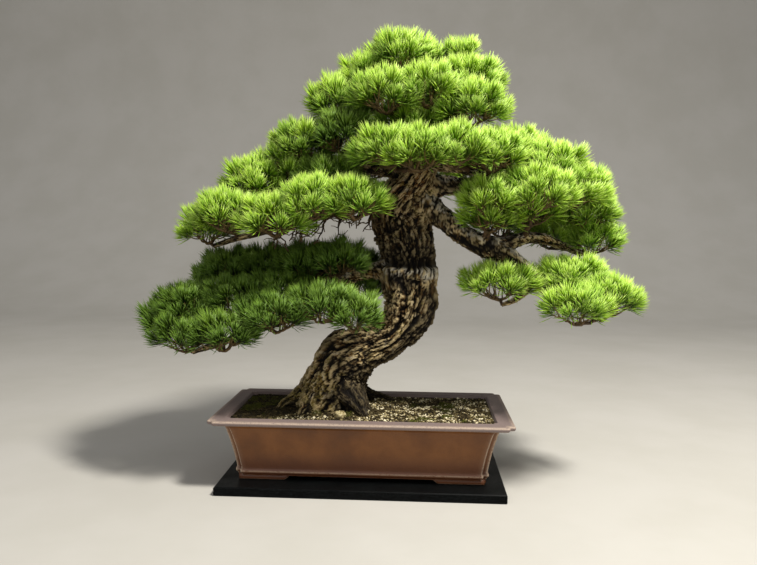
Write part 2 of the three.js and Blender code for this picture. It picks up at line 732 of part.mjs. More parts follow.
/** The pot's filling: up the inside of the pot, then in rings over the top towards the mound. */
function soilGeometry() {
  const [mouth, shoulder, floor] = POT_INSIDE;
  const share = SOIL.depthAtRim / shoulder.depth;
  const edgeLevel = {
    inset: THREE.MathUtils.lerp(mouth.inset, shoulder.inset, share),
    notch: THREE.MathUtils.lerp(mouth.notch, shoulder.notch, share),
  };
  const walls = [floor, shoulder, edgeLevel].map((level) => potOutline(level, GAP));
  const rings = walls.map((outline) => divided(outline, walls[2]));
  const counts = rings[0].length;
  const heights = [FLOOR_TOP + GAP, RIM_TOP - shoulder.depth];
  const rows = rings.length - 1 + SOIL.rings;
  return tube(counts, rows, (around, along, edge) => {
    const row = Math.round(along * rows);
    const index = Math.round(around * counts) % counts;
    if (row < 2) {
      const [x, y] = rings[row][index];
      return new THREE.Vector3(edge * x, edge * y, heights[row]);
    }
    const inward = edge ? (row - 2) / (SOIL.rings + 1) : 1;
    const x = THREE.MathUtils.lerp(rings[2][index][0], SOIL.moundX, inward);
    const y = THREE.MathUtils.lerp(rings[2][index][1], 0, inward);
    return new THREE.Vector3(x, y, ground(x, y, inward ? 1 : 0));
  });
}

function buildSoil(rootMass) {
  const pockets = [-1, 1].map((side) => {
    const room = SCREEN.size + 2 * GAP;
    const pocket = new THREE.BoxGeometry(room, room, 2 * (SCREEN.thick + 2 * GAP));
    return solid(pocket.translate(side * POT.drainX, 0, FLOOR_TOP));
  });
  return largest(solid(soilGeometry()).subtract(joined([...rootMass, ...pockets])));
}

// ---- Display board --------------------------------------------------------------------

function boardGeometry() {
  const { length, width, height, chamfer } = BOARD;
  const x = length / 2 - chamfer;
  const y = width / 2 - chamfer;
  const corners = [[-x, -y], [x, -y], [x, y], [-x, y]];
  const shape = new THREE.Shape(corners.map((corner) => new THREE.Vector2(...corner)));
  const geometry = new THREE.ExtrudeGeometry(shape, {
    depth: height - 2 * chamfer, bevelSize: chamfer, bevelThickness: chamfer, bevelSegments: 1,
  });
  return geometry.translate(0, 0, chamfer);
}

// ---- Assembly ----------------------------------------------------------------------------

const bonsai = new THREE.Group();

const board = named('display_board', boardGeometry(), COLOURS.board);
const pot = named('pot', geometryOf(buildPot()), COLOURS.clay);
const soil = named('soil', geometryOf(buildSoil(woodParts(SOIL.trunkGap))), COLOURS.soil);
bonsai.add(board, pot, soil);

for (const [name, side] of [['drain_screen_left', -1], ['drain_screen_right', 1]]) {
  const screen = named(name, geometryOf(buildScreen()), COLOURS.screen);
  screen.position.set(side * POT.drainX, 0, FLOOR_TOP + GAP + SCREEN.thick / 2);
  bonsai.add(screen);
}

for (const points of [TRUNK, KNOB, ...ROOTS, ...Object.values(LIMBS)]) addWoodObstacles(points);

const plans = Object.entries(SPRAYS).map(([name, dome], i) => planSpray(name, dome, seeded(101 + i)));
for (const plan of plans) placeTwigs(plan);

const limbParts = Object.values(LIMBS).map((points) => solid(wood(points, BARK.limbSides, plainBark)));
const shootParts = plans.map((plan) => solid(plan.shoot));
const trunk = largest(joined([...woodParts(0), ...limbParts, ...shootParts]));
bonsai.add(named('trunk', geometryOf(trunk), COLOURS.bark));

for (const plan of plans) {
  bonsai.add(named(`spray_${plan.name}`, geometryOf(buildSpray(plan)), COLOURS.needles));
}

export default bonsai;
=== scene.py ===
"""Looks of a bonsai pine in a rectangular clay pot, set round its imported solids.

Metres, +Z up, front towards -Y, origin at the middle of the display board's underside.
Tables of places and sizes are in millimetres and are multiplied by MM where they are used.
"""

import bmesh
import bpy
import numpy as np
from mathutils import Matrix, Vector
from mathutils.geometry import tessellate_polygon


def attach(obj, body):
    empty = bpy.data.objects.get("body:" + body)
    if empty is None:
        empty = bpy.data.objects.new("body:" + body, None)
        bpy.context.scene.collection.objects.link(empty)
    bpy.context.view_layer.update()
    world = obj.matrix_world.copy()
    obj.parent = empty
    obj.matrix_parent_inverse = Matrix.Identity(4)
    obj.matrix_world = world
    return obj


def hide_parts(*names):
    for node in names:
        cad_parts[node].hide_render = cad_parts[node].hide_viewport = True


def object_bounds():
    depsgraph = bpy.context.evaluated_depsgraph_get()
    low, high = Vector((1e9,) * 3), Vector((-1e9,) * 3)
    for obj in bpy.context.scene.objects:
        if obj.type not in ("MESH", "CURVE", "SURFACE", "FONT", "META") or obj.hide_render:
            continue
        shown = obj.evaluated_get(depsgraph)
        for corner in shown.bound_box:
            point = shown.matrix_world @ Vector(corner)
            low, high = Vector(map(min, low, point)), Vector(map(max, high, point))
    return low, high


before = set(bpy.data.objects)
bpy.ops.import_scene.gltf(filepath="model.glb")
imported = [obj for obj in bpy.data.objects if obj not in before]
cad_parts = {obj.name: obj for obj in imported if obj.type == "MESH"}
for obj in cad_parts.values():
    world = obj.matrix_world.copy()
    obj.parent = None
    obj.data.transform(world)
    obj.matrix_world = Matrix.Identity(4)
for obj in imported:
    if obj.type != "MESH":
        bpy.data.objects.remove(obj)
solid_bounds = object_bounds()

MM = 0.001
GOLDEN = np.pi * (3 - np.sqrt(5))

# ---- Places and sizes, shared with the solids unless a comment says otherwise --------

BOARD_TOP = 18
POT = {"length": 600, "width": 300, "height": 130, "notch": 12, "foot_height": 10}
FOOT = {"front": 108, "side": 60, "thick": 15, "set_in": 2, "notch": 4, "curl": 20}
DRAIN = {"radius": 13, "x": 130, "sides": 32}
RIM_TOP = BOARD_TOP + POT["height"]

# Depth below the rim and inset from the rim's outline, from the rim's inner edge outwards and down.
POT_OUTSIDE = [
    (0, 6), (0.3, 2.8), (1.4, 0.8), (3, 0), (5.6, 0.2), (7.8, 0.9), (9, 2.6), (9.9, 6), (11.2, 11), (12.6, 17),
    (14.6, 22.5), (18.6, 26.8), (24, 29), (38, 33), (66, 40), (90, 44.6), (105, 47), (107, 46.9), (108.4, 46),
    (110.4, 45.2), (113.4, 45.2), (115.4, 45.8), (117, 47.4), (120, 48.5),
]
POT_INSIDE = [(0, 30), (0.6, 32.2), (3, 33.6), (25, 44), (60, 51.2), (100, 58.4), (109, 62)]

# Mossy lumps at the trunk's foot: place, reach and height.
LUMPS = [(-122, -60, 14, 9), (-96, -74, 13, 9), (-70, -66, 11, 6), (-24, -62, 14, 6), (24, 66, 24, 9)]
SOIL = {"depth_at_rim": 6, "mound": 11, "mound_x": -60, "mound_reach": 120, "wave": 1.5}

# The soil's side against the pot's inside wall, from the floor up: depth below the rim, inset and notch.
SOIL_WALL = [(109, 62.3, 12), (25, 44.3, 12), (6, 35.2, 8.3)]

# Granules, which the solids don't have: half the field they fill, the pitch of their lattice and how far each may
# shift on it, their size, the corner they leave out and how clear they stay of the trunk's middle.
GRAIN = {
    "half_x": 262.5, "half_y": 111.5, "pitch": 3.9, "shift": 1.6, "size": (1.2, 3.1), "corner": 8, "clear": 55,
}

# Moss blades, also only here: half the field they are tried in, how often, how densely they stand, how tall and
# thick they are and how clear they stay of the trunk's middle. Then the pale stone's place and half its size.
MOSS = {
    "half_x": 258, "half_y": 100, "tries": 60000, "dense": 0.42, "tall": (2.0, 4.2), "thick": 0.55, "clear": 58,
}
STONE = {"x": -46.0, "y": -74.0, "reach": (12, 9, 8)}

# The trunk's middle line with its radius, from its foot in the soil to the apex.
TRUNK = [
    (-70, 6, 112, 62), (-70, 6, 150, 74), (-68, 5, 178, 68), (-62, 3, 208, 62), (-46, 0, 242, 59),
    (-14, -2, 266, 50), (20, -3, 280, 43), (50, -4, 296, 41), (75, -5, 324, 46), (91, -6, 355, 53),
    (95, -6, 390, 57), (91, -5, 420, 57), (95, -4, 438, 56), (92, 1, 457, 52), (84, 4, 490, 57),
    (72, 6, 524, 58), (62, 2, 556, 51), (80, -4, 592, 43), (100, -10, 622, 36), (112, -16, 652, 31),
    (107, -20, 695, 26), (92, -20, 742, 21), (86, -18, 790, 16), (84, -16, 832, 9),
]
KNOB = [(-36, -4, 246, 34), (-52, -6, 268, 35), (-62, -8, 284, 24)]
ROOTS = [
    [(-40, 24, 186, 24), (-6, 44, 168, 13), (24, 56, 158, 8), (48, 62, 150, 6), (64, 64, 143, 5)],
    [(-98, 8, 186, 30), (-134, 0, 168, 20), (-164, -8, 154, 12), (-186, -14, 138, 6)],
    [(-84, -26, 190, 30), (-106, -52, 166, 20), (-126, -72, 140, 9)],
    [(-40, -26, 186, 28), (-14, -54, 166, 18), (6, -70, 142, 8)],
    [(-88, 34, 192, 28), (-112, 60, 166, 18), (-128, 78, 142, 8)],
    [(-26, 0, 178, 24), (-8, -12, 161, 15), (10, -22, 142, 8)],
]
LIMBS = {
    "left_upper": [(60, 0, 588, 22), (25, -8, 582, 18), (-41, -25, 566, 13), (-121, -45, 542, 10),
                   (-208, -50, 516, 8), (-275, -45, 498, 6), (-312, -36, 486, 5)],
    "left_high": [(100, -12, 636, 20), (50, -10, 648, 18), (-8, -12, 650, 14), (-90, -18, 647, 11),
                  (-160, -18, 617, 8), (-214, -12, 580, 6)],
    "left_lower": [(92, 8, 448, 24), (48, 6, 440, 19), (-23, 5, 430, 15), (-109, 15, 418, 12),
                   (-197, 25, 404, 9), (-276, 32, 391, 7), (-314, 38, 378, 5)],
    "left_drop": [(-20, 4, 431, 14), (-50, -14, 419, 13), (-84, -40, 390, 12), (-137, -66, 350, 11),
                  (-215, -80, 318, 9), (-290, -82, 290, 7), (-344, -82, 272, 5)],
    "left_fore": [(-62, -24, 407, 10), (-50, -60, 374, 10), (-32, -90, 344, 7), (-12, -108, 324, 5)],
    "right_drooping": [(78, 2, 588, 28), (122, -6, 572, 27), (153, -15, 551, 23), (185, -28, 524, 22),
                       (214, -38, 504, 21), (250, -50, 489, 21), (284, -56, 478, 18)],
    "right_low": [(250, -50, 489, 18), (300, -59, 466, 13), (330, -62, 442, 10), (352, -64, 410, 8),
                  (398, -66, 386, 7), (440, -68, 368, 6), (466, -70, 350, 5)],
    "right_low_back": [(336, -62, 434, 8), (326, -64, 404, 7), (300, -66, 384, 6), (276, -66, 374, 4)],
    "right_rising": [(262, -53, 484, 17), (300, -46, 500, 15), (345, -28, 508, 12), (400, 0, 494, 9),
                     (446, 14, 474, 6)],
    "right_upper": [(92, -6, 604, 26), (140, -8, 612, 22), (200, -16, 612, 18), (272, -30, 604, 14),
                    (345, -40, 600, 11), (404, -40, 570, 7)],
    "crown_right": [(92, -20, 742, 15), (118, -38, 748, 13), (156, -56, 746, 11), (204, -74, 722, 8)],
    "crown_high": [(88, -18, 776, 12), (120, -8, 786, 11), (164, -8, 788, 9), (196, -18, 776, 6)],
    "crown_left": [(92, -20, 748, 14), (52, -20, 762, 12), (6, -16, 766, 9), (-44, -18, 740, 6)],
    "crown_back": [(88, -14, 770, 13), (88, 30, 788, 11), (92, 76, 800, 8), (136, 98, 788, 6)],
    "fore_left": [(108, -20, 648, 17), (92, -60, 648, 12), (66, -100, 638, 8)],
    "fore_right": [(114, -20, 650, 18), (148, -58, 650, 13), (198, -88, 638, 9), (234, -98, 628, 6)],
    "back": [(78, 6, 586, 26), (86, 62, 606, 21), (98, 120, 618, 17), (106, 180, 612, 13), (110, 236, 588, 8)],
    "back_left": [(84, 60, 606, 16), (44, 110, 618, 12), (2, 156, 622, 8)],
    "back_right": [(96, 118, 618, 16), (150, 150, 622, 12), (216, 172, 612, 8)],
}

# Foliage: for each piece, its sprays, as the middle of the dome that the shoots lie on and its reach. The solids
# have all of these but the ones named between.
FOLIAGE = {
    "needles_crown": {
        "crown_top": (70, -20, 856, 48, 52, 26), "crown_peak": (200, 10, 864, 14, 20, 14),
        "crown_right_high": (205, -30, 802, 48, 52, 26), "crown_left_high": (4, 0, 816, 40, 52, 26),
        "crown_middle": (125, -100, 776, 44, 44, 24), "between_peaks": (150, 20, 862, 22, 26, 12),
    },
    "needles_crown_front": {
        "crown_right_low": (212, -88, 742, 50, 48, 24), "crown_front": (45, -110, 762, 52, 45, 24),
        "crown_left": (-54, -20, 764, 42, 56, 28), "shaded_left": (-46, -60, 694, 50, 52, 28),
        "shaded_low": (-75, -40, 612, 52, 48, 24), "left_high": (-128, -18, 678, 46, 56, 30),
        "between_crown": (90, -70, 719, 48, 30, 14),
    },
    "needles_crown_back": {
        "crown_back": (85, 110, 830, 60, 52, 26), "crown_back_right": (200, 110, 798, 50, 52, 26),
        "back_high": (132, 198, 712, 68, 56, 26), "back_left": (-5, 188, 660, 62, 56, 26),
    },
    "needles_back": {
        "back_right": (250, 186, 646, 62, 56, 26), "back_far": (110, 272, 616, 62, 50, 24),
        "left_back": (-220, 85, 556, 64, 52, 26), "right_back": (362, 86, 640, 60, 52, 26),
    },
    "needles_front": {
        "front_left": (50, -130, 658, 45, 42, 24), "front_middle": (112, -150, 650, 45, 42, 22),
        "front_right": (176, -140, 656, 48, 44, 24), "front_far_right": (246, -112, 650, 52, 48, 24),
        "left_near": (-90, -130, 560, 50, 44, 26), "left_inner": (-8, -138, 560, 46, 38, 24),
    },
    "needles_left": {
        "left_tip": (-325, -32, 510, 40, 44, 24), "left_low": (-270, -82, 534, 52, 46, 26),
        "left_slope": (-226, -10, 604, 48, 54, 28), "left_front": (-166, -120, 526, 50, 45, 26),
        "between_slopes": (-168, -10, 636, 40, 44, 24),
    },
    "needles_lower_back": {
        "lower_tip_high": (-328, 40, 404, 36, 42, 20), "lower_high": (-290, 32, 424, 48, 52, 22),
        "lower_middle": (-214, 42, 428, 50, 54, 22), "lower_inner": (-126, 58, 434, 50, 48, 22),
        "lower_near_trunk": (-22, 86, 424, 42, 42, 20), "between_trunk": (-14, 50, 385, 38, 38, 18),
    },
    "needles_lower_left": {
        "lower_tip": (-402, -40, 320, 36, 42, 24), "lower_slope": (-356, -54, 350, 46, 52, 26),
        "lower_tip_low": (-352, -104, 296, 44, 42, 20), "lower_deep": (-256, -54, 364, 54, 52, 26),
    },
    "needles_lower_front": {
        "lower_front": (-266, -122, 302, 45, 42, 22), "lower_under": (-166, -112, 338, 50, 46, 24),
        "lower_fore": (-76, -116, 360, 50, 44, 24), "lower_last": (-14, -122, 342, 36, 36, 22),
        "between_lower": (-161, -40, 385, 48, 46, 20), "between_limbs": (-52, -56, 446, 44, 38, 16),
        "between_inner_limbs": (-118, -30, 436, 44, 38, 16),
    },
    "needles_right": {
        "right_high": (296, -28, 668, 48, 52, 26), "right_middle": (362, -48, 634, 52, 52, 26),
        "right_tip": (416, -42, 588, 50, 56, 30), "right_front": (336, -112, 578, 50, 44, 26),
        "right_inner": (248, -102, 570, 42, 40, 22), "between_inner": (250, -70, 538, 42, 34, 16),
        "between_rising": (328, -62, 550, 46, 38, 18),
    },
    "needles_right_low": {
        "rising_tip": (468, 20, 490, 42, 46, 22), "rising_middle": (388, 58, 504, 50, 48, 24),
        "rising_inner": (284, 56, 528, 44, 42, 22), "low_inner": (274, -66, 404, 54, 44, 20),
        "low_middle": (420, -38, 410, 56, 52, 22), "low_front": (408, -122, 364, 42, 42, 20),
        "low_tip": (482, -72, 374, 42, 46, 22), "between_right": (455, 0, 545, 38, 44, 20),
    },
}

# Painted shade: how far the green of a piece, and of some sprays in it, leans to a deep, shaded green;
# below 0 it is painted brighter.
DEEP_GREEN = {
    "needles_lower_back": 0.9, "needles_lower_left": 1.0, "needles_lower_front": 0.95, "needles_crown_front": 0.15,
    "shaded_left": 0.75, "shaded_low": 0.6, "left_high": 0.2, "lower_under": 0.2, "needles_right": -0.2,
}

# Shoots on a spray, in millimetres and shares of the dome: the dome's area for each, the share more that hang
# round its rim as a skirt and fill its inside, how far out each kind stands, how far it leans outwards, how far it
# drops below the dome, and how much shade it lies in. Under them, how deep the boughs' hub lies and how far out
# and down the boughs reach.
SHOOT = {
    "area": 620, "skirt": 0.45, "inner": 0.35, "rim": 0.96, "skirt_rim": 0.88, "inner_rim": 0.85, "lean": 0.85,
    "droop": 1.35, "inner_lean": 2.1, "skirt_drop": 0.2, "inner_drop": 0.3, "skirt_shade": 0.25,
    "inner_shade": 0.6, "rim_shade": 0.12, "hub_depth": 20, "bough_reach": 0.75, "bough_drop": 3,
}
DOME, SKIRT, INNER = 0, 1, 2

# Needles: how many on a shoot and along how much of it, their length and the share by which some are shorter,
# their angle to the shoot low down and at its end in degrees, their thickness, where they are thickest, how far
# they bend upwards, and how close to the edge of the solids' box they may come.
NEEDLE = {
    "count": 84, "shoot": 12, "length": 45, "shorter": 0.22, "low": 62, "high": 6, "thick": 0.85, "widest": 0.64,
    "bend": 0.05, "spare": 0.5,
}

# A spray's wood: the radii of its main shoot and of a bough from start to end and of a twig along it, and how
# young the twig's bark is along it.
TWIG = {
    "main": (6.0, 3.2), "bough": (3.0, 1.5), "twig": (1.5, 1.35, 1.25, 1.2, 1.15, 0.7),
    "young": (0.1, 0.2, 0.4, 0.6, 0.9, 1.0),
}

# The bare lattice under the left pad: how many strands hang from the limb and from which stretch of it. Then for
# strands and for their side twigs: how far they reach each way, how far their bow and their line stray, how many
# rings and sides they have, their radii from start to end and how young their bark is.
LATTICE = {
    "count": 26, "stretch": (0.12, 0.6),
    "strands": {
        "reach": ((-30, 30), (-80, 0), (-62, -36)), "bow": 9, "stray": 1.4, "rings": 9, "sides": 5,
        "radii": (2.4, 1.0), "young": 0.0,
    },
    "side_twigs": {
        "reach": ((-34, 34), (-24, 24), (-6, 12)), "bow": 6, "stray": 1.2, "rings": 7, "sides": 4,
        "radii": (1.3, 0.6), "young": 0.2,
    },
}

# ---- Smooth random numbers --------------------------------------------------------


def smoothstep(low, high, value):
    """0 below low, 1 above high and an S-curve in between."""
    share = np.clip((value - low) / (high - low), 0, 1)
    return share * share * (3 - 2 * share)


def falling(low, high, value):
    """1 below low, 0 above high and an S-curve in between."""
    return 1 - smoothstep(low, high, value)


def scatter(lattice, seed=0):
    """A number from 0 to 1 for each row of whole numbers, the same in every run."""
    hashed = np.full(lattice.shape[:-1], (seed * 0x9E3779B9 + 0x1234567) & 0xFFFFFFFF, np.uint32)
    for axis, factor in zip(range(lattice.shape[-1]), (0x85EBCA6B, 0xC2B2AE35, 0x27D4EB2F)):
        whole = np.round(lattice[..., axis]).astype(np.int64) & 0xFFFFFFFF
        hashed ^= whole.astype(np.uint32) * np.uint32(factor)
        hashed ^= hashed >> np.uint32(15)
        hashed *= np.uint32(0x2C1B3C6D)
        hashed ^= hashed >> np.uint32(13)
    return hashed / 2.0**32


def noise(points, seed=0):
    """Smooth waves from -1 to 1: a random value at each whole-number place, blended in between."""
    cell = np.floor(points)
    part = points - cell
    part = part * part * (3 - 2 * part)
    total = 0
    for corner in np.ndindex(*(2,) * points.shape[-1]):
        weight = np.prod(np.where(corner, part, 1 - part), axis=-1)
        total = total + weight * scatter(cell + corner, seed)
    return 2 * total - 1


def fractal(points, octaves, seed=0):
    """Waves that carry waves of half their size and strength, octaves deep."""
    return sum(noise(points * 2**i, seed + i) / 2**i for i in range(octaves))


def flat_fractal(x, y, octaves, seed):
    """The same waves over a level plane."""
    return fractal(np.stack([x, y], axis=-1), octaves, seed)


def bell(offset, width):
    """1 where the offset is 0, falling to about a third where it is as large as the width."""
    return np.exp(-((offset / width) ** 2))


# ---- Meshes from whole arrays ---------------------------------------------------------


def outward(points, faces):
    """The triangles of a closed surface, turned over if they enclose a negative volume: the sum of the boxes
    that their corners span from the middle."""
    corners = points[faces] - points.mean(axis=0)
    volume = np.einsum("ij,ij->i", corners[:, 0], np.cross(corners[:, 1], corners[:, 2])).sum()
    return faces[:, ::-1] if volume < 0 else faces


def in_scene(name, data):
    """An object that holds this data, put into the scene."""
    made = bpy.data.objects.new(name, data)
    bpy.context.scene.collection.objects.link(made)
    return made


def mesh_piece(name, points, faces, marks, smooth=True):
    """An object at the origin with these points in metres, triangles, and one attribute for each mark."""
    faces = outward(points, faces)
    mesh = bpy.data.meshes.new(name)
    mesh.vertices.add(len(points))
    mesh.vertices.foreach_set("co", points.astype(np.float32).ravel())
    mesh.loops.add(faces.size)
    mesh.loops.foreach_set("vertex_index", faces.astype(np.int32).ravel())
    mesh.polygons.add(len(faces))
    mesh.polygons.foreach_set("loop_start", np.arange(0, faces.size, 3, dtype=np.int32))
    mesh.polygons.foreach_set("use_smooth", np.full(len(faces), smooth))
    for name_of_mark, values in marks.items():
        attribute = mesh.attributes.new(name_of_mark, "FLOAT", "POINT")
        attribute.data.foreach_set("value", np.broadcast_to(values, len(points)).astype(np.float32))
    mesh.update()
    mesh.validate()
    return in_scene(name, mesh)


def wall_faces(rows, columns):
    """Triangles between rows rings of columns points each, every ring closed on itself."""
    row, column = np.meshgrid(np.arange(rows - 1), np.arange(columns), indexing="ij")
    a, b = row * columns + column, row * columns + (column + 1) % columns
    return np.stack([a, b, b + columns, a, b + columns, a + columns], axis=-1).reshape(-1, 3)


def ring_faces(rows, columns):
    """Triangles of a tube of rings whose ends are closed by one more point each."""
    around = np.arange(columns)
    following = (around + 1) % columns
    first, last = rows * columns, rows * columns + 1
    bottom = np.stack([following, around, np.full(columns, first)], axis=-1)
    top = np.stack([around, following, np.full(columns, last)], axis=-1) + [[(rows - 1) * columns] * 2 + [0]]
    return np.vstack([wall_faces(rows, columns), bottom, top])


def copies(faces, points, count):
    """The triangles of count copies of a shape of so many points, one copy's points after another's."""
    return (faces[None] + points * np.arange(count)[:, None, None]).reshape(-1, 3)


def joined(parts):
    """Several (points, faces, marks) as one, with each part's faces counted on from the last part's points."""
    starts = np.cumsum([0] + [len(points) for points, _, _ in parts[:-1]])
    points = np.vstack([points for points, _, _ in parts])
    faces = np.vstack([faces + start for (_, faces, _), start in zip(parts, starts)])
    marks = {mark: np.concatenate([np.broadcast_to(m[mark], len(p)) for p, _, m in parts]) for mark in parts[0][2]}
    return points, faces, marks


def closed_rings(rings, marks):
    """A tube through rings of points, an array of rows x columns x 3, with its ends closed at their middles."""
    rows, columns, _ = rings.shape
    points = np.vstack([rings.reshape(-1, 3), rings[[0, -1]].mean(axis=1)])
    padded = {
        mark: np.concatenate([np.broadcast_to(v, (rows, columns)).ravel(), np.ravel(v)[[0, -1]]])
        for mark, v in marks.items()
    }
    return points, outward(points, ring_faces(rows, columns)), padded


# ---- Routes ------------------------------------------------------------------------------


def spline(points, places):
    """The centripetal Catmull-Rom curve through the points, at places from 0 to 1 counted by point."""
    ends = np.vstack([2 * points[0] - points[1], points, 2 * points[-1] - points[-2]])
    step = np.minimum((places * (len(points) - 1)).astype(int), len(points) - 2)
    t = (places * (len(points) - 1) - step)[:, None]
    a, b, c, d = (ends[step + i] for i in range(4))
    gaps = np.linalg.norm(np.diff(ends[:, :3], axis=0), axis=1) ** 0.5
    g0, g1, g2 = (gaps[step + i][:, None] for i in range(3))
    leave = ((b - a) / g0 - (c - a) / (g0 + g1) + (c - b) / g1) * g1
    arrive = ((c - b) / g1 - (d - b) / (g1 + g2) + (d - c) / g2) * g1
    curved = b + leave * t + (3 * (c - b) - 2 * leave - arrive) * t**2 + (2 * (b - c) + leave + arrive) * t**3
    curved[:, 3] = (b + (c - b) * t * t * (3 - 2 * t))[:, 3]
    return curved


def unit(vectors):
    """Each vector at length 1."""
    return vectors / np.maximum(np.linalg.norm(vectors, axis=-1, keepdims=True), 1e-12)


def carried_frames(line):
    """Directions square to a line at each of its points, turned along it as little as possible."""
    along = unit(np.gradient(line, axis=0))
    across = np.empty_like(along)
    last = np.array([0.0, -1.0, 0.0])
    for row, way in enumerate(along):
        last = last - way * (last @ way)
        last = last / np.linalg.norm(last)
        across[row] = last
    return across, np.cross(across, along)


def even_route(points, spacing):
    """A route at even spacing: middle, radius, place counted by point, and the distance from the start."""
    route = np.array(points, float) * MM
    fine = np.linspace(0, 1, 30 * len(route))
    line = spline(route, fine)
    run = np.concatenate([[0], np.cumsum(np.linalg.norm(np.diff(line[:, :3], axis=0), axis=1))])
    rows = max(int(run[-1] / spacing), 6)
    places = np.interp(np.linspace(0, run[-1], rows + 1), run, fine)
    line = spline(route, places)
    return line[:, :3], line[:, 3], places * (len(route) - 1), np.linspace(0, run[-1], rows + 1)


ROUTES = {"trunk": TRUNK, "knob": KNOB, **{f"root_{i}": r for i, r in enumerate(ROOTS)}, **LIMBS}


def wood_segments():
    """Each route cut into short straight pieces: ends, radii and the route's name."""
    cut = []
    for name, points in ROUTES.items():
        route = np.array(points, float) * MM
        line = spline(route, np.linspace(0, 1, 3 * (len(route) - 1) + 1))
        cut += [(name, start, end) for start, end in zip(line[:-1], line[1:])]
    return cut


SEGMENTS = wood_segments()


def collar(name, points, radius):
    """How far wood swells where it meets other wood: a quarter of the blend's width times the square of
    how deep the place lies in the blend, for the other wood that is nearest."""
    swell = np.zeros(len(points))
    for owner, start, end in SEGMENTS:
        if owner == name:
            continue
        span = end - start
        share = np.clip((points - start[:3]) @ span[:3] / (span[:3] @ span[:3]), 0, 1)
        nearest = start + share[:, None] * span
        gap = np.abs(np.linalg.norm(points - nearest[:, :3], axis=1) - nearest[:, 3])
        width = 1.1 * np.minimum(radius, nearest[:, 3])
        depth = np.clip(1 - gap / width, 0, 1)
        swell = np.maximum(swell, width / 4 * depth**2)
    return swell


# ---- Bark -----------------------------------------------------------------------------------

# Bark on wood of different thickness: the girth's radius in mm and how wide a plate is, how much longer than
# wide it is, how far it winds in radians to the metre, and how deep ridges, furrows, plates and flakes are in mm.
BARK_TRUNK = {
    "girth": 55, "plate": 12, "stretch": 2.3, "winding": -1.6,
    "ridge": 8.0, "furrow": 3.8, "step": 4.6, "flake": 3.4,
}
BARK_ROOT = {
    "girth": 26, "plate": 9, "stretch": 2.2, "winding": 5.0,
    "ridge": 5.0, "furrow": 3.0, "step": 3.4, "flake": 2.4,
}
BARK_LIMB = {
    "girth": 15, "plate": 6.5, "stretch": 2.4, "winding": 4.0,
    "ridge": 2.0, "furrow": 1.8, "step": 1.5, "flake": 1.1,
}

# The scar ledge at the trunk's front: its height, how far its forms spread up and down in mm, and how far it
# stands out and the hollow over it falls back, as shares of the trunk's radius.
LEDGE = {"z": 441, "tall": 27, "out": 0.07, "recess": 0.2}

# Where age and painted shade show on the wood, as the stretch in mm over which a mark fades in or out.
# By height: the golden patch, which starts higher on the side that faces right, the painted shade on the side
# that faces right, the painted shade at the foot and the moss. By place along X: the painted shade at the foot
# and the end of the richest moss.
AGE_AND_PAINTED_SHADE = {
    "golden_from": (545, 575), "golden_lean": 70, "golden_to": (640, 700), "right_shade_to": (340, 420),
    "foot_shade_to": (195, 250), "foot_shade_from_x": (-85, -35), "moss_to": (170, 330), "moss_to_x": (-70, -30),
}

# How finely wood is meshed: how many points stand round a stem, and how many mm lie from ring to ring.
WOOD_MESH = {"trunk": (190, 1.9), "knob": (104, 2.0), "root": (76, 2.2), "limb": (36, 2.7)}


def plates(flow, seed):
    """Uneven cells like the plates of old bark: how far each place lies from the edge of its cell, and a random
    number of the cell."""
    corner = np.floor(flow)
    nearest = np.full(flow.shape[:-1], 9.0)
    second, own = nearest.copy(), nearest.copy()
    for step in np.ndindex(3, 3, 3):
        lattice = corner + np.array(step) - 1
        centre = lattice + 0.12 + 0.76 * np.stack([scatter(lattice, seed + axis) for axis in range(3)], axis=-1)
        away = np.linalg.norm(flow - centre, axis=-1)
        second = np.minimum(second, np.maximum(nearest, away))
        own = np.where(away < nearest, scatter(lattice, seed + 5), own)
        nearest = np.minimum(nearest, away)
    return second - nearest, own


def terraced(height, steps):
    """A height turned into flat steps with short steep risers, as flakes of bark that lie on each other."""
    level = height * steps
    rest = level - np.floor(level)
    return (np.floor(level) + smoothstep(0.62, 1, rest)) / steps


def softened(height):
    """A height averaged with its neighbours, over about seven places each way."""
    for shift in (1, 2, 4):
        for axis in (0, 1):
            height = (np.roll(height, shift, axis) + height + np.roll(height, -shift, axis)) / 3
    return height


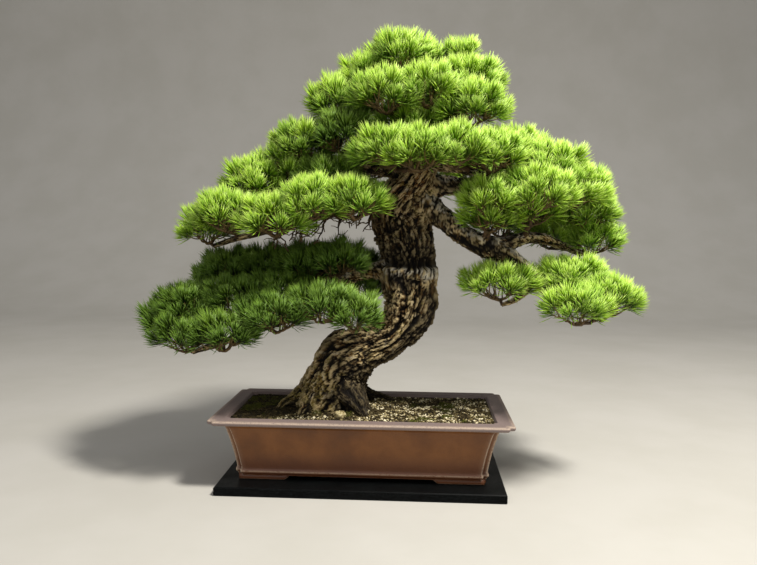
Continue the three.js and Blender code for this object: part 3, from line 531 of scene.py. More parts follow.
def bark(turn, run, kind, seed):
    """Height of the bark in metres on a stem unrolled into turns round it and metres run along it. Winding
    ridges carry jagged plates that are longer than wide and stand at uneven heights, with furrows between them;
    smaller plates and terraces flake them. Marks: crack, low beside its surroundings, for dark furrows with
    painted shade in them; crest, high, for pale crests with painted highlight on them; plate, tone."""
    angle = 2 * np.pi * turn + kind["winding"] * run
    girth = kind["girth"] / kind["plate"]
    along = run / MM / kind["plate"] / kind["stretch"]
    flow = np.stack([girth * np.cos(angle), girth * np.sin(angle), along], axis=-1)
    sway = np.stack([fractal(flow * 0.6 + 3.1, 3, seed + i) for i in range(3)], axis=-1)
    jag = np.stack([fractal(flow * 3.4, 2, seed + 31 + i) for i in range(3)], axis=-1)
    flow = flow + 0.5 * sway + 0.2 * jag
    strand = np.abs(noise(flow * [0.36, 0.36, 0.17] + 9.3, seed + 7))
    groove = 1 - smoothstep(0.0, 0.13, strand)
    gap, level = plates(flow, seed + 11)
    small_gap, small_level = plates(flow * [2.4, 2.4, 2.9] + 4.4, seed + 13)
    furrow = smoothstep(0.0, 0.24, gap)
    split = smoothstep(0.0, 0.3, small_gap)
    layers = terraced(fractal(flow * [1.9, 1.9, 2.6] + 8.8, 3, seed + 17), 4)
    fine = fractal(flow * [5.5, 5.5, 9.0], 3, seed + 23)
    height = kind["ridge"] * (smoothstep(0.0, 0.5, strand) - 0.7) + kind["furrow"] * (furrow - 0.8)
    height += kind["step"] * (level - 0.5) * furrow
    height += 0.34 * kind["furrow"] * (split - 0.8) + 0.6 * kind["step"] * (small_level - 0.5) * split
    height += kind["flake"] * layers + fine
    rise = (height - softened(height)) / kind["furrow"]
    broad = noise(flow * [0.3, 0.3, 0.14] + 2.2, seed + 29)
    edge = 1 - smoothstep(0.0, 0.16, gap)
    plate = 0.1 + 0.35 * level + 0.3 * small_level + 0.3 * layers + 0.2 * fine + 0.4 * broad
    # Low places darken as dark furrows with painted shade in them; high places pale as crests with painted
    # highlight.
    marks = {
        "crack_and_shade": np.clip(smoothstep(0.03, 0.5, -rise) + 0.4 * edge + 0.85 * groove, 0, 1),
        "crest_and_highlight": smoothstep(0.12, 0.6, rise),
        "plate": np.clip(plate, 0, 1),
    }
    return height * MM, marks


def trunk_shape(turn, place, facing, z):
    """The trunk's large forms as a share of its radius, by turn, by place counted in points of its route, by
    how far it faces the front and by height: winding ridges, a ledge at the front with a hollow over it, and
    twisted folds in the upper trunk."""
    angle = 2 * np.pi * turn
    ridges = 0.045 * np.sin(5 * angle + 0.9 * place) + 0.03 * np.sin(3 * angle - 2.3 * place + 1)
    front = smoothstep(-0.25, 1.0, facing)
    above = (z - LEDGE["z"]) / LEDGE["tall"] - 0.07 * np.sin(3 * angle + 0.4) - 0.05 * np.sin(11 * angle)
    ledge = LEDGE["out"] * bell(above, 1.1) * falling(-0.04, 0.16, above)
    recess = -LEDGE["recess"] * smoothstep(-0.02, 0.3, above) * falling(0.7, 3.4, above)
    upper = smoothstep(0.3, 1.0, above) * falling(3.5, 5.5, above)
    folds = 0.1 * upper * (np.abs(np.sin(2.5 * angle - 1.1 * place)) ** 0.7 - 0.6)
    return ridges + front * (ledge + recess) + folds


def no_shape(turn, place, facing, z):
    """A plain stem has no large forms."""
    return 0 * turn * place * facing * z


def age_and_painted_light_marks(name, marks, spots, way, above):
    """Adds age and painted light and shade to the bark's marks, from places in millimetres, the way that the
    surface faces and the height above the ledge counted in the ledge's spread. The pale mark: lichens in spots,
    and
    painted highlight with lichens on top of limbs and on the ledge's crumbling top. hollow, which is dark:
    painted shade over the ledge, on the side that faces right and at the foot, and dark stains.
    rust: bare golden wood high on the trunk. moss: green, low down and more to the left."""
    x, z = spots[..., 0], spots[..., 2]
    trunk = name == "trunk"
    front = trunk * smoothstep(-0.5, 0.3, -way[..., 1])
    crumbs = smoothstep(-0.25, 0.35, fractal(spots / [9, 9, 6], 3, 97))
    ledge = bell(above + 0.16 + 0.2 * fractal(spots / 16, 2, 98), 0.36) * front * crumbs
    top = smoothstep(0.3, 0.85, way[..., 2] + 0.5 * fractal(spots / 7, 3, 71)) * (name in LIMBS)
    flecks = smoothstep(0.5, 0.9, fractal(spots / 9, 3, 72))
    # The pale mark: lichens in flecks, and painted highlight on the limbs' tops and the ledge's crumbling top.
    marks["lichen_and_highlight"] = np.clip(0.9 * top + 3.0 * ledge + 0.4 * flecks, 0, 1) * (1 - 0.6 * marks["crack_and_shade"])
    golden = smoothstep(*AGE_AND_PAINTED_SHADE["golden_from"], z - AGE_AND_PAINTED_SHADE["golden_lean"] * way[..., 0])
    golden = trunk * golden * falling(*AGE_AND_PAINTED_SHADE["golden_to"], z)
    # Painted shade in the hollow over the ledge, fading out higher up and on the golden wood.
    hollow = smoothstep(0.0, 0.3, above) * (1 - 0.25 * smoothstep(0.8, 2, above)) * front
    hollow *= falling(2.2, 4.8, above + 1.2 * fractal(spots / 24, 2, 99)) * (1 - 0.7 * golden)
    # Painted shade on the side that faces right and down, low on the wood.
    facing_right = way[..., 0] - 0.4 * way[..., 2] + 0.4 * fractal(spots / 30, 2, 91)
    right_side_shade = smoothstep(0.0, 0.7, facing_right) * falling(*AGE_AND_PAINTED_SHADE["right_shade_to"], z)
    # Painted shade at the foot, towards its right and low down.
    foot = smoothstep(*AGE_AND_PAINTED_SHADE["foot_shade_from_x"], x) * falling(*AGE_AND_PAINTED_SHADE["foot_shade_to"], z)
    stain = 0.6 * smoothstep(0.0, 0.6, fractal(spots / 36, 2, 93))
    dark = np.clip(np.maximum(hollow, stain) + right_side_shade + foot, 0, 1)
    # Painted shadow in a band just over the ledge, at the front.
    shadow = smoothstep(0.05, 0.25, above) * falling(0.6, 1.3, above) * front
    # Painted highlight on the ledge's crumbling top and on the crests, kept out of the painted shade.
    lit = np.maximum(0.9 * np.clip(2 * ledge, 0, 1), 0.2 * marks["crest_and_highlight"])
    # The hollow mark: painted shade and shadow, mixed with the dark stains.
    marks["hollow"] = np.maximum(dark * (1 - lit), np.maximum(shadow, 0.95 * foot))
    marks["rust"] = golden * smoothstep(-0.3, 0.3, fractal(spots / 22, 3, 95))
    low = falling(*AGE_AND_PAINTED_SHADE["moss_to"], z) * (1 - 0.7 * smoothstep(*AGE_AND_PAINTED_SHADE["moss_to_x"], x))
    marks["moss"] = smoothstep(0.2, 0.8, 0.75 * low + 0.8 * fractal(spots / 15, 3, 83) - 0.1)
    return marks


def stem(name, points, fineness, kind, seed, shape=no_shape):
    """Wood along a route: rings square to it, at the route's radius times the large forms, plus the bark, and
    swollen where other wood joins."""
    columns, spacing = fineness
    middle, radius, place, run = even_route(points, spacing * MM)
    across, over = carried_frames(middle)
    turn = np.arange(columns) / columns
    angle = 2 * np.pi * turn
    way = across[:, None] * np.sin(angle)[:, None] + over[:, None] * np.cos(angle)[:, None]
    rows = len(run)
    turns = np.broadcast_to(turn, (rows, columns))
    places = np.broadcast_to(place[:, None], (rows, columns))
    height, marks = bark(turns, np.broadcast_to(run[:, None], (rows, columns)), kind, seed)
    bare = middle[:, None] + way * radius[:, None, None]
    bare_z = bare[..., 2] / MM
    form = shape(turns, places, -way[..., 1], bare_z)
    plain = bare + way * (radius[:, None] * form)[..., None]
    swell = collar(name, plain.reshape(-1, 3), np.repeat(radius, columns)).reshape(rows, columns)
    slim = np.minimum(radius[:, None] / (0.9 * kind["girth"] * MM), 1)
    rings = plain + way * (swell + height * slim)[..., None]
    above = (bare_z - LEDGE["z"]) / LEDGE["tall"]
    return closed_rings(rings, age_and_painted_light_marks(name, marks, rings / MM, way, above))


# ---- Materials --------------------------------------------------------------------------------


def paint(code):
    """A screen colour such as 0x8a6a4c as the linear colour that a shader takes."""
    screen = np.array([(code >> shift & 255) / 255 for shift in (16, 8, 0)])
    linear = np.where(screen <= 0.04045, screen / 12.92, ((screen + 0.055) / 1.055) ** 2.4)
    return (*linear, 1.0)


def node(tree, kind, inputs=None, **settings):
    """A shader node with its settings, and its inputs linked or set by name or number."""
    made = tree.nodes.new("ShaderNode" + kind)
    for key, value in settings.items():
        setattr(made, key, value)
    for key, value in (inputs or {}).items():
        if isinstance(value, bpy.types.NodeSocket):
            tree.links.new(value, made.inputs[key])
        else:
            made.inputs[key].default_value = value
    return made


def mixed(tree, share, first, second):
    """Two colours blended by a share from 0 to 1. A colour given as a screen code is made linear."""
    first, second = (paint(colour) if isinstance(colour, int) else colour for colour in (first, second))
    return node(tree, "Mix", {0: share, 6: first, 7: second}, data_type="RGBA").outputs[2]


def sums(tree, operation, *values):
    """One arithmetic step on shader values."""
    return node(tree, "Math", dict(enumerate(values)), operation=operation).outputs[0]


def times(tree, value, factor):
    """A shader value times another or a number."""
    return sums(tree, "MULTIPLY", value, factor)


def line(tree, value, start, rise):
    """A straight line: start, plus rise times the value."""
    return sums(tree, "ADD", start, times(tree, value, rise))


def layered(tree, colour, layers):
    """A colour with others laid over it one after another, each by its own share."""
    for share, paint_code in layers:
        colour = mixed(tree, share, colour, paint_code)
    return colour


def ramp(tree, share, stops):
    """A colour that runs through the stops as share goes from 0 to 1."""
    made = node(tree, "ValToRGB", {0: share})
    band = made.color_ramp
    while len(band.elements) < len(stops):
        band.elements.new(0.5)
    for element, (place, colour) in zip(band.elements, stops):
        element.position = place
        element.color = paint(colour)
    return made.outputs[0]


def scaled(tree, share, low, high):
    """A share that runs from 0 at low to 1 at high, with smooth ends."""
    inputs = {0: share, 1: low, 2: high, 3: 0.0, 4: 1.0}
    return node(tree, "MapRange", inputs, interpolation_type="SMOOTHSTEP").outputs[0]


def spread(tree, share, low, high, start=0.0, end=1.0):
    """A share that runs from start at low to end at high in a straight line."""
    return node(tree, "MapRange", {0: share, 1: low, 2: high, 3: start, 4: end}).outputs[0]


def mark(tree, name):
    """One of the piece's own attributes."""
    return node(tree, "Attribute", attribute_name=name).outputs["Fac"]


# Wear that every finish shares: for each output the name and start of its scale, its noise's detail and
# roughness, and the stretch of the noise that becomes 0 to 1.
WEAR = {
    "Patches": ("Patch Scale", 20.0, 4.0, 0.6, (0.3, 0.7)),
    "Specks": ("Speck Scale", 600.0, 2.0, 0.7, (0.42, 0.66)),
    "Grain": ("Grain Scale", 300.0, 5.0, 0.65, None),
}


def wear_group():
    """Wear as a node group: broad cloudy patches, fine specks and a fine uneven height, each from noise on the
    given place at the given scale."""
    tree = bpy.data.node_groups.new("Weathering", "ShaderNodeTree")
    face = tree.interface
    face.new_socket("Place", in_out="INPUT", socket_type="NodeSocketVector")
    for scale, start, *_ in WEAR.values():
        face.new_socket(scale, in_out="INPUT", socket_type="NodeSocketFloat").default_value = start
    for name in WEAR:
        face.new_socket(name, in_out="OUTPUT", socket_type="NodeSocketFloat")
    given = tree.nodes.new("NodeGroupInput").outputs
    result = tree.nodes.new("NodeGroupOutput").inputs
    for name, (scale, _, detail, roughness, stretch) in WEAR.items():
        inputs = {"Vector": given["Place"], "Scale": given[scale], "Detail": detail, "Roughness": roughness}
        waves = node(tree, "TexNoise", inputs).outputs["Fac"]
        tree.links.new(scaled(tree, waves, *stretch) if stretch else waves, result[name])
    return tree


WEAR_GROUP = wear_group()


def worn_by(tree, patch, speck, grain):
    """The shared wear at Object coordinates and at this material's own scales."""
    made = node(tree, "Group", node_tree=WEAR_GROUP)
    tree.links.new(node(tree, "TexCoord").outputs["Object"], made.inputs["Place"])
    for (scale, *_), value in zip(WEAR.values(), (patch, speck, grain)):
        made.inputs[scale].default_value = value
    return made.outputs


def new_material(name, **constants):
    """A material with a Principled shader whose constants are set on its own sockets."""
    material = bpy.data.materials.new(name)
    material.use_nodes = True
    shader = material.node_tree.nodes["Principled BSDF"]
    for socket, value in constants.items():
        shader.inputs[socket.replace("_", " ")].default_value = value
    return material, material.node_tree, shader


def surface(tree, shader, colour, roughness=None, height=None, strength=0.0, distance=0.0):
    """Links a finish's colour, its roughness, and a height whose bumps stand up by a distance in metres."""
    tree.links.new(colour, shader.inputs["Base Color"])
    if roughness is not None:
        tree.links.new(roughness, shader.inputs["Roughness"])
    if height is not None:
        raised = node(tree, "Bump", {"Height": height, "Strength": strength, "Distance": distance})
        tree.links.new(raised.outputs[0], shader.inputs["Normal"])


def bark_material():
    """Flaking pine bark: brown plates with tan crests and painted highlight on them, rusty patches, near-black
    cracks with painted shade in them, painted shade over the ledge, on the side that faces right and at the foot,
    dark stains, pale lichens with painted highlight on the limbs' tops and the ledge, and olive moss."""
    material, tree, shader = new_material("pine_bark", Specular_IOR_Level=0.18)
    worn = worn_by(tree, 60.0, 900.0, 420.0)
    patches, grain = worn["Patches"], worn["Grain"]
    tone = sums(tree, "ADD", times(tree, mark(tree, "plate"), 0.7), times(tree, patches, 0.3))
    browns = [(0.0, 0x160E05), (0.28, 0x33240E), (0.52, 0x5E491F), (0.78, 0x907436), (1.0, 0xCDB478)]
    wood = ramp(tree, tone, browns)
    warm = sums(tree, "MAXIMUM", times(tree, scaled(tree, patches, 0.4, 0.8), 0.45), mark(tree, "rust"))
    layers = [
        (times(tree, warm, 0.9), 0x7E501E),
        # Pale crests: paler ridges of bark with painted highlight on them.
        (times(tree, mark(tree, "crest_and_highlight"), 0.75), 0xE0C998),
        (times(tree, worn["Specks"], 0.25), 0xC2AC80),
        (times(tree, times(tree, mark(tree, "moss"), scaled(tree, grain, 0.4, 0.6)), 0.8), 0x857527),
        # Pale lichens in flecks, and painted highlight on the limbs' tops and the ledge's crumbling top.
        (times(tree, times(tree, mark(tree, "lichen_and_highlight"), scaled(tree, grain, 0.32, 0.5)), 0.85), 0xEDE5D3),
        # Painted shade over the ledge, on the side that faces right and at the foot, mixed with dark stains.
        (times(tree, mark(tree, "hollow"), 0.92), 0x0F0A05),
        # Near-black cracks: dark furrows with painted shade in them.
        (mark(tree, "crack_and_shade"), 0x0C0704),
    ]
    height = sums(tree, "ADD", grain, worn["Specks"])
    surface(tree, shader, layered(tree, wood, layers), line(tree, grain, 0.62, 0.3), height, 0.7, 1.4 * MM)
    return material


def twig_material():
    """Thin twigs: brown and scaly, greener and paler towards the needles."""
    material, tree, shader = new_material("twig_bark", Specular_IOR_Level=0.3)
    worn = worn_by(tree, 120.0, 1500.0, 900.0)
    old = mixed(tree, worn["Patches"], 0x2C1F15, 0x604930)
    colour = mixed(tree, times(tree, mark(tree, "young"), 0.7), old, 0x8A7A3C)
    surface(tree, shader, colour, line(tree, worn["Specks"], 0.6, 0.3), worn["Grain"], 0.6, 0.8 * MM)
    return material


# A needle's colours from its sheath to its tip: on a sunny shoot, on a plain one and in deep shade.
NEEDLE_PLACES = (0.0, 0.14, 0.36, 0.75, 1.0)
NEEDLE_COLOURS = {
    "sunny": (0x3C3A10, 0x648A14, 0x96BE28, 0xA0C238, 0xBCCE72),
    "plain": (0x2A260E, 0x46680E, 0x74A422, 0x86AE2E, 0xA4C052),
    "dark": (0x17140A, 0x162806, 0x34500C, 0x4A6814, 0x6C8A2A),
}


def needle_material():
    """Pine needles: brown sheath, deep green below and bright yellow-green towards the pale tip, each shoot a
    little different, and painted shade: a deeper green inside the pads and on shaded pads."""
    material, tree, shader = new_material("pine_needles", Specular_IOR_Level=0.35)
    along, tone, shade = mark(tree, "along"), mark(tree, "tone"), mark(tree, "shade")
    sunny, plain, dark = (ramp(tree, along, list(zip(NEEDLE_PLACES, row))) for row in NEEDLE_COLOURS.values())
    lively = mixed(tree, scaled(tree, tone, 0.15, 0.75), sunny, plain)
    depth = scaled(tree, line(tree, tone, shade, 0.3), 0.1, 1.3)
    surface(tree, shader, mixed(tree, depth, lively, dark), spread(tree, tone, 0.0, 1.0, 0.4, 0.6))
    return material


def soil_material():
    """Baked-clay and pumice granules, from near black to straw, with painted light and shade in their tone, and
    withered moss and green moss in patches.
    """
    material, tree, shader = new_material("soil_granules", Specular_IOR_Level=0.2)
    worn = worn_by(tree, 90.0, 1400.0, 800.0)
    tone = sums(tree, "ADD", times(tree, mark(tree, "tone"), 0.75), times(tree, worn["Patches"], 0.25))
    straws = [(0.0, 0x0D0A05), (0.25, 0x302713), (0.5, 0x6C5F3E), (0.75, 0xA99B74), (1.0, 0xE6DCC0)]
    grit = ramp(tree, tone, straws)
    colour = mixed(tree, mark(tree, "moss"), grit, mixed(tree, worn["Specks"], 0x363C10, 0x76762A))
    surface(tree, shader, colour, line(tree, worn["Grain"], 0.75, 0.25), worn["Grain"], 0.8, 0.8 * MM)
    return material


def clay_material():
    """Unglazed brown clay, burnished by handling: warm brown with cloudy firing marks, darker low down, a dusty
    grey-pink lip, pale worn edges and a few pits."""
    material, tree, shader = new_material("fired_clay", Specular_IOR_Level=0.45)
    worn = worn_by(tree, 9.0, 700.0, 260.0)
    body = ramp(tree, worn["Patches"], [(0.0, 0x5E350F), (0.5, 0x6E4014), (1.0, 0x7E4D1E)])
    layers = [
        (times(tree, mark(tree, "low"), 0.75), 0x542D1C),
        (times(tree, mark(tree, "lip"), 0.8), 0x716767),
        (times(tree, times(tree, mark(tree, "edge"), scaled(tree, worn["Grain"], 0.3, 0.52)), 0.7), 0xC9B49C),
        (times(tree, scaled(tree, worn["Specks"], 0.75, 1.0), 0.35), 0x2E1B12),
    ]
    gloss = spread(tree, worn["Grain"], 0.3, 0.7, 0.34, 0.52)
    rough = sums(tree, "ADD", gloss, times(tree, mark(tree, "lip"), 0.25))
    surface(tree, shader, layered(tree, body, layers), rough, worn["Grain"], 0.25, 0.8 * MM)
    return material


def board_material():
    """A black painted board with a faint blue-grey bloom and fine dust."""
    material, tree, shader = new_material("black_board", Specular_IOR_Level=0.04)
    worn = worn_by(tree, 14.0, 900.0, 350.0)
    base = mixed(tree, worn["Patches"], 0x010101, 0x040505)
    dust = times(tree, scaled(tree, worn["Specks"], 0.55, 1.0), 0.16)
    gloss = spread(tree, worn["Patches"], 0.0, 1.0, 0.32, 0.5)
    surface(tree, shader, mixed(tree, dust, base, 0x55595C), gloss, worn["Grain"], 0.15, 0.5 * MM)
    return material


def screen_material():
    """Dark green-grey plastic netting, matt and a little dusty."""
    material, tree, shader = new_material("screen_plastic", Specular_IOR_Level=0.4)
    worn = worn_by(tree, 60.0, 1200.0, 500.0)
    surface(tree, shader, mixed(tree, worn["Patches"], 0x1B2320, 0x2C3733), line(tree, worn["Specks"], 0.5, 0.2))
    return material


def dressed(piece, material, slot, *nodes):
    """Gives a piece its material, hangs it on the root body and hides the solids that it stands for. slot is not
    used.
    """
    piece.data.materials.append(material)
    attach(piece, "root")
    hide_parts(*nodes)


# ---- Trunk, roots and limbs ------------------------------------------------------------------

BARK = bark_material()


def build_wood():
    """The trunk in one piece, the roots and the knob in a second and the limbs in a third."""
    trunk = [stem("trunk", TRUNK, WOOD_MESH["trunk"], BARK_TRUNK, 3, trunk_shape)]
    base = [stem("knob", KNOB, WOOD_MESH["knob"], BARK_TRUNK, 5)]
    base += [stem(f"root_{i}", root, WOOD_MESH["root"], BARK_ROOT, 11 + i) for i, root in enumerate(ROOTS)]
    limbs = [stem(name, LIMBS[name], WOOD_MESH["limb"], BARK_LIMB, 31 + i) for i, name in enumerate(LIMBS)]
    for piece_name, parts in {"trunk_bark": trunk, "root_flare": base, "limbs": limbs}.items():
        dressed(mesh_piece(piece_name, *joined(parts)), BARK, "bark", "trunk")


# ---- Twigs and needles ---------------------------------------------------------------------


def limb_points():
    """Places along the trunk and all limbs where a spray can start, with the radius there."""
    lines = []
    for points in [TRUNK, *LIMBS.values()]:
        route = np.array(points, float)
        lines.append(spline(route, np.linspace(0, 1, 4 * (len(route) - 1) + 1))[2:])
    return np.vstack(lines)


LIMB_POINTS = limb_points()


def spray_plan(dome, rng):
    """One spray in millimetres: where it leaves its limb, its hub below the dome, and its shoots' bases and
    axes. Most shoots lie on the dome in a sunflower spiral, upright in the middle and leaning out at the rim.
    A skirt of shoots hangs round the rim, and a few low inside lean out over the boughs. shade is 0 on the
    dome's top and grows inwards."""
    centre, reach = np.array(dome[:3], float), np.array(dome[3:], float)
    hub = centre - [0, 0, SHOOT["hub_depth"]]
    away = hub - LIMB_POINTS[:, :3]
    cost = np.linalg.norm(away, axis=1) + 1.5 * np.maximum(0, -away[:, 2])
    start = LIMB_POINTS[np.argmin(cost)]
    area = np.pi * reach[0] * reach[1] * (1 + 0.6 * reach[2] / min(reach[:2]))
    count = max(4, round(area / SHOOT["area"]))
    skirt, inner = round(SHOOT["skirt"] * count), round(SHOOT["inner"] * count)
    kinds = np.repeat([DOME, SKIRT, INNER], [count, skirt, inner])
    cases = [kinds == DOME, kinds == SKIRT]
    index = np.concatenate([np.arange(count), np.arange(skirt), np.arange(inner)])
    spiral = np.sqrt((index + 0.5) / np.array([count, skirt, inner])[kinds])
    level = np.ones(len(kinds))
    out = np.select(cases, [SHOOT["rim"] * spiral, SHOOT["skirt_rim"] * level], SHOOT["inner_rim"] * spiral)
    out = np.clip(out + rng.normal(0, 0.04, len(out)), 0.02, 0.99)
    step = np.array([GOLDEN, 2 * np.pi / max(skirt, 1), GOLDEN])[kinds]
    angle = rng.uniform(0, 2 * np.pi, 3)[kinds] + index * step + rng.normal(0, 0.12, len(out))
    side = np.column_stack([np.cos(angle), np.sin(angle)])
    round_top = np.sqrt(1 - out**2)
    drop = SHOOT["inner_drop"]
    rise = np.select(cases, [round_top, -SHOOT["skirt_drop"] * level], drop * round_top - drop)
    height = reach[2] * rise + rng.normal(0, 2, len(out))
    base = centre + np.column_stack([reach[:2] * side * out[:, None], height])
    lean = np.select(cases, [SHOOT["lean"] * out, SHOOT["droop"] * level], SHOOT["inner_lean"] * out)
    axis = np.column_stack([side * lean[:, None], level]) + rng.normal(0, 0.12, (len(out), 3))
    shade = np.select(cases, [SHOOT["rim_shade"] * (1 - rise), SHOOT["skirt_shade"] * level], SHOOT["inner_shade"])
    return {
        "start": start, "hub": hub, "base": base, "axis": unit(axis), "out": out, "angle": angle, "centre": centre,
        "reach": reach, "shade": shade,
    }


def tubes(lines, radii, sides, marks):
    """Many thin tubes at once: lines is count x rows x 3 and radii is count x rows, both in millimetres."""
    count, rows, _ = lines.shape
    along = unit(np.gradient(lines, axis=1))
    across = np.empty_like(along)
    last = np.tile([0.31, -0.93, 0.2], (count, 1))
    for row in range(rows):
        last = unit(last - along[:, row] * np.sum(last * along[:, row], axis=1, keepdims=True))
        across[:, row] = last
    over = np.cross(across, along)
    angle = 2 * np.pi * np.arange(sides) / sides
    ring = across[:, :, None] * np.sin(angle)[:, None] + over[:, :, None] * np.cos(angle)[:, None]
    rings = lines[:, :, None] + ring * radii[:, :, None, None]
    points = np.concatenate([rings.reshape(count, -1, 3), lines[:, [0, -1]]], axis=1)
    faces = copies(outward(points[0], ring_faces(rows, sides)), points.shape[1], count)
    everywhere = {}
    for name, values in marks.items():
        values = np.broadcast_to(values, (count, rows))
        ringed = np.repeat(values[:, :, None], sides, axis=2).reshape(count, -1)
        everywhere[name] = np.concatenate([ringed, values[:, [0, -1]]], axis=1).ravel()
    return points.reshape(-1, 3) * MM, faces, everywhere


def bent(start, control, end, rows):
    """Quadratic curves from start to end, drawn towards a control point."""
    t = np.linspace(0, 1, rows)[:, None]
    return (1 - t) ** 2 * start[:, None] + 2 * t * (1 - t) * control[:, None] + t**2 * end[:, None]


def twig_parts(plan, rng):
    """A spray's woody parts: a main shoot from the limb, boughs that fan out flat under the dome, and a twig
    from a bough up to each shoot's base, arriving along the shoot's axis."""
    start, hub, centre, reach = plan["start"][:3], plan["hub"], plan["centre"], plan["reach"]
    base, axis = plan["base"], plan["axis"]
    thick = min(TWIG["main"][0], 0.75 * plan["start"][3])
    knee = (start + hub) / 2 + [0, 0, 6] + rng.normal(0, 5, 3)
    main = bent(start[None], knee[None], hub[None], 9)
    main += rng.normal(0, 1.1, main.shape) * np.sin(np.linspace(0, np.pi, 9))[:, None]
    parts = [tubes(main, np.linspace(thick, TWIG["main"][1], 9)[None], 6, {"young": 0.0})]
    boughs = max(4, len(base) // 6)
    turn = 2 * np.pi * (np.arange(boughs) + 0.5) / boughs + rng.uniform(-0.3, 0.3, boughs)
    way = np.stack([np.cos(turn), np.sin(turn), np.zeros(boughs)], axis=-1)
    drop = [0, 0, SHOOT["bough_drop"]]
    ends = centre + way * reach * SHOOT["bough_reach"] - drop + rng.normal(0, 2, (boughs, 3))
    heads = np.tile(hub, (boughs, 1))
    controls = (heads + ends) / 2 - [0, 0, 5] + rng.normal(0, 3, (boughs, 3))
    lines = bent(heads, controls, ends, 8)
    lines[:, 1:-1] += rng.normal(0, 0.9, lines[:, 1:-1].shape)
    parts.append(tubes(lines, np.tile(np.linspace(*TWIG["bough"], 8), (boughs, 1)), 5, {"young": 0.15}))
    nearest = np.argmin(np.abs(np.angle(np.exp(1j * (plan["angle"][:, None] - turn)))), axis=1)
    step = np.clip(plan["out"] * 0.85, 0.1, 0.98) * 7
    low = np.floor(step).astype(int)
    leaves = lines[nearest, low] + (lines[nearest, low + 1] - lines[nearest, low]) * (step - low)[:, None]
    length = np.linalg.norm(base - leaves, axis=1, keepdims=True)
    twigs = bent(leaves, base - axis * length * 0.55, base + axis * NEEDLE["shoot"] * 0.95, 6)
    parts.append(tubes(twigs, np.tile(TWIG["twig"], (len(base), 1)), 4, {"young": TWIG["young"]}))
    return parts


def needle_room(root, reach):
    """The share of each needle's reach that stays inside the solids' box."""
    low, high = (np.array(corner) / MM for corner in solid_bounds)
    spare = NEEDLE["spare"]
    edge = np.where(reach > 0, high - spare - root, low + spare - root)
    room = edge / np.where(np.abs(reach) < 1e-6, 1e-6, reach)
    return np.clip(room.min(axis=1), 0.15, 1)


def needle_parts(plan, deep, rng):
    """All needles of a spray. They grow up each shoot in a sunflower spiral: nearly square to it low down and
    almost along it at its end, each bent a little upwards. A needle is three-sided, pointed at both ends, and
    thickest beyond its middle."""
    base, axis = plan["base"], plan["axis"]
    shoots, each, widest = len(base), NEEDLE["count"], NEEDLE["widest"]
    grid = (shoots, each)
    across = unit(np.cross(axis, np.tile([0.2, 0.9, 0.1], (shoots, 1))))
    over = np.cross(axis, across)
    rank = (np.arange(each) + 0.5) / each
    turn = GOLDEN * np.arange(each) + rng.uniform(0, 2 * np.pi, (shoots, 1)) + rng.normal(0, 0.2, grid)
    tilt = NEEDLE["low"] + (NEEDLE["high"] - NEEDLE["low"]) * rank**0.7 + rng.normal(0, 8, grid)
    tilt = np.radians(tilt)[..., None]
    outwards = across[:, None] * np.cos(turn)[..., None] + over[:, None] * np.sin(turn)[..., None]
    way = (axis[:, None] * np.cos(tilt) + outwards * np.sin(tilt)).reshape(-1, 3)
    root = (base[:, None] + axis[:, None] * (rank * NEEDLE["shoot"])[:, None]).reshape(-1, 3)
    length = NEEDLE["length"] * (1.06 - 0.3 * rng.random((shoots, 1)))
    length = (length * (1 - NEEDLE["shorter"] * rng.random(grid))).ravel()
    tone = np.clip(rng.normal(0.42, 0.22, (shoots, 1)) + rng.normal(0, 0.3, grid), 0, 1)
    shade = np.clip(np.repeat(plan["shade"][:, None], each, axis=1) + deep, 0, 1.6)
    bend = np.array([0, 0, NEEDLE["bend"]])
    length = length * needle_room(root, (way + bend) * length[:, None])
    middle = root + (way + 0.4 * bend) * (widest * length)[:, None]
    tip = root + (way + bend) * length[:, None]
    first = unit(np.cross(way, np.tile([0.13, 0.21, 0.97], (len(way), 1)) + 0.0007 * root))
    second = np.cross(way, first)
    corner = 2 * np.pi * np.arange(3) / 3
    ring = first[:, None] * np.cos(corner)[:, None] + second[:, None] * np.sin(corner)[:, None]
    points = np.concatenate([root[:, None], middle[:, None] + ring * NEEDLE["thick"], tip[:, None]], axis=1)
    needle = np.array([[0, 2, 1], [0, 3, 2], [0, 1, 3], [1, 2, 4], [2, 3, 4], [3, 1, 4]])
    marks = {
        "along": np.tile([0, widest, widest, widest, 1], len(root)),
        "tone": np.repeat(tone.ravel(), 5),
        "shade": np.repeat(shade.ravel(), 5),
    }
    return points.reshape(-1, 3) * MM, copies(needle, 5, len(root)), marks


def bare_twigs(rng):
    """The lattice of thin bare twigs that hangs under the left pad: crooked strands from the limb, each with
    side twigs that wander along under the needles."""
    limb = np.array(LIMBS["left_upper"], float)
    heads = spline(limb, np.linspace(*LATTICE["stretch"], LATTICE["count"]))[:, :3]
    parts = []
    for layer in (LATTICE["strands"], LATTICE["side_twigs"]):
        count, rings = len(heads), layer["rings"]
        tips = heads + np.column_stack([rng.uniform(low, high, count) for low, high in layer["reach"]])
        lines = bent(heads, (heads + tips) / 2 + rng.normal(0, layer["bow"], (count, 3)), tips, rings)
        lines[:, 1:] += rng.normal(0, layer["stray"], lines[:, 1:].shape)
        radii = np.tile(np.linspace(*layer["radii"], rings), (count, 1))
        parts.append(tubes(lines, radii, layer["sides"], {"young": layer["young"]}))
        heads = lines[:, 3:8:2].reshape(-1, 3)
    return parts


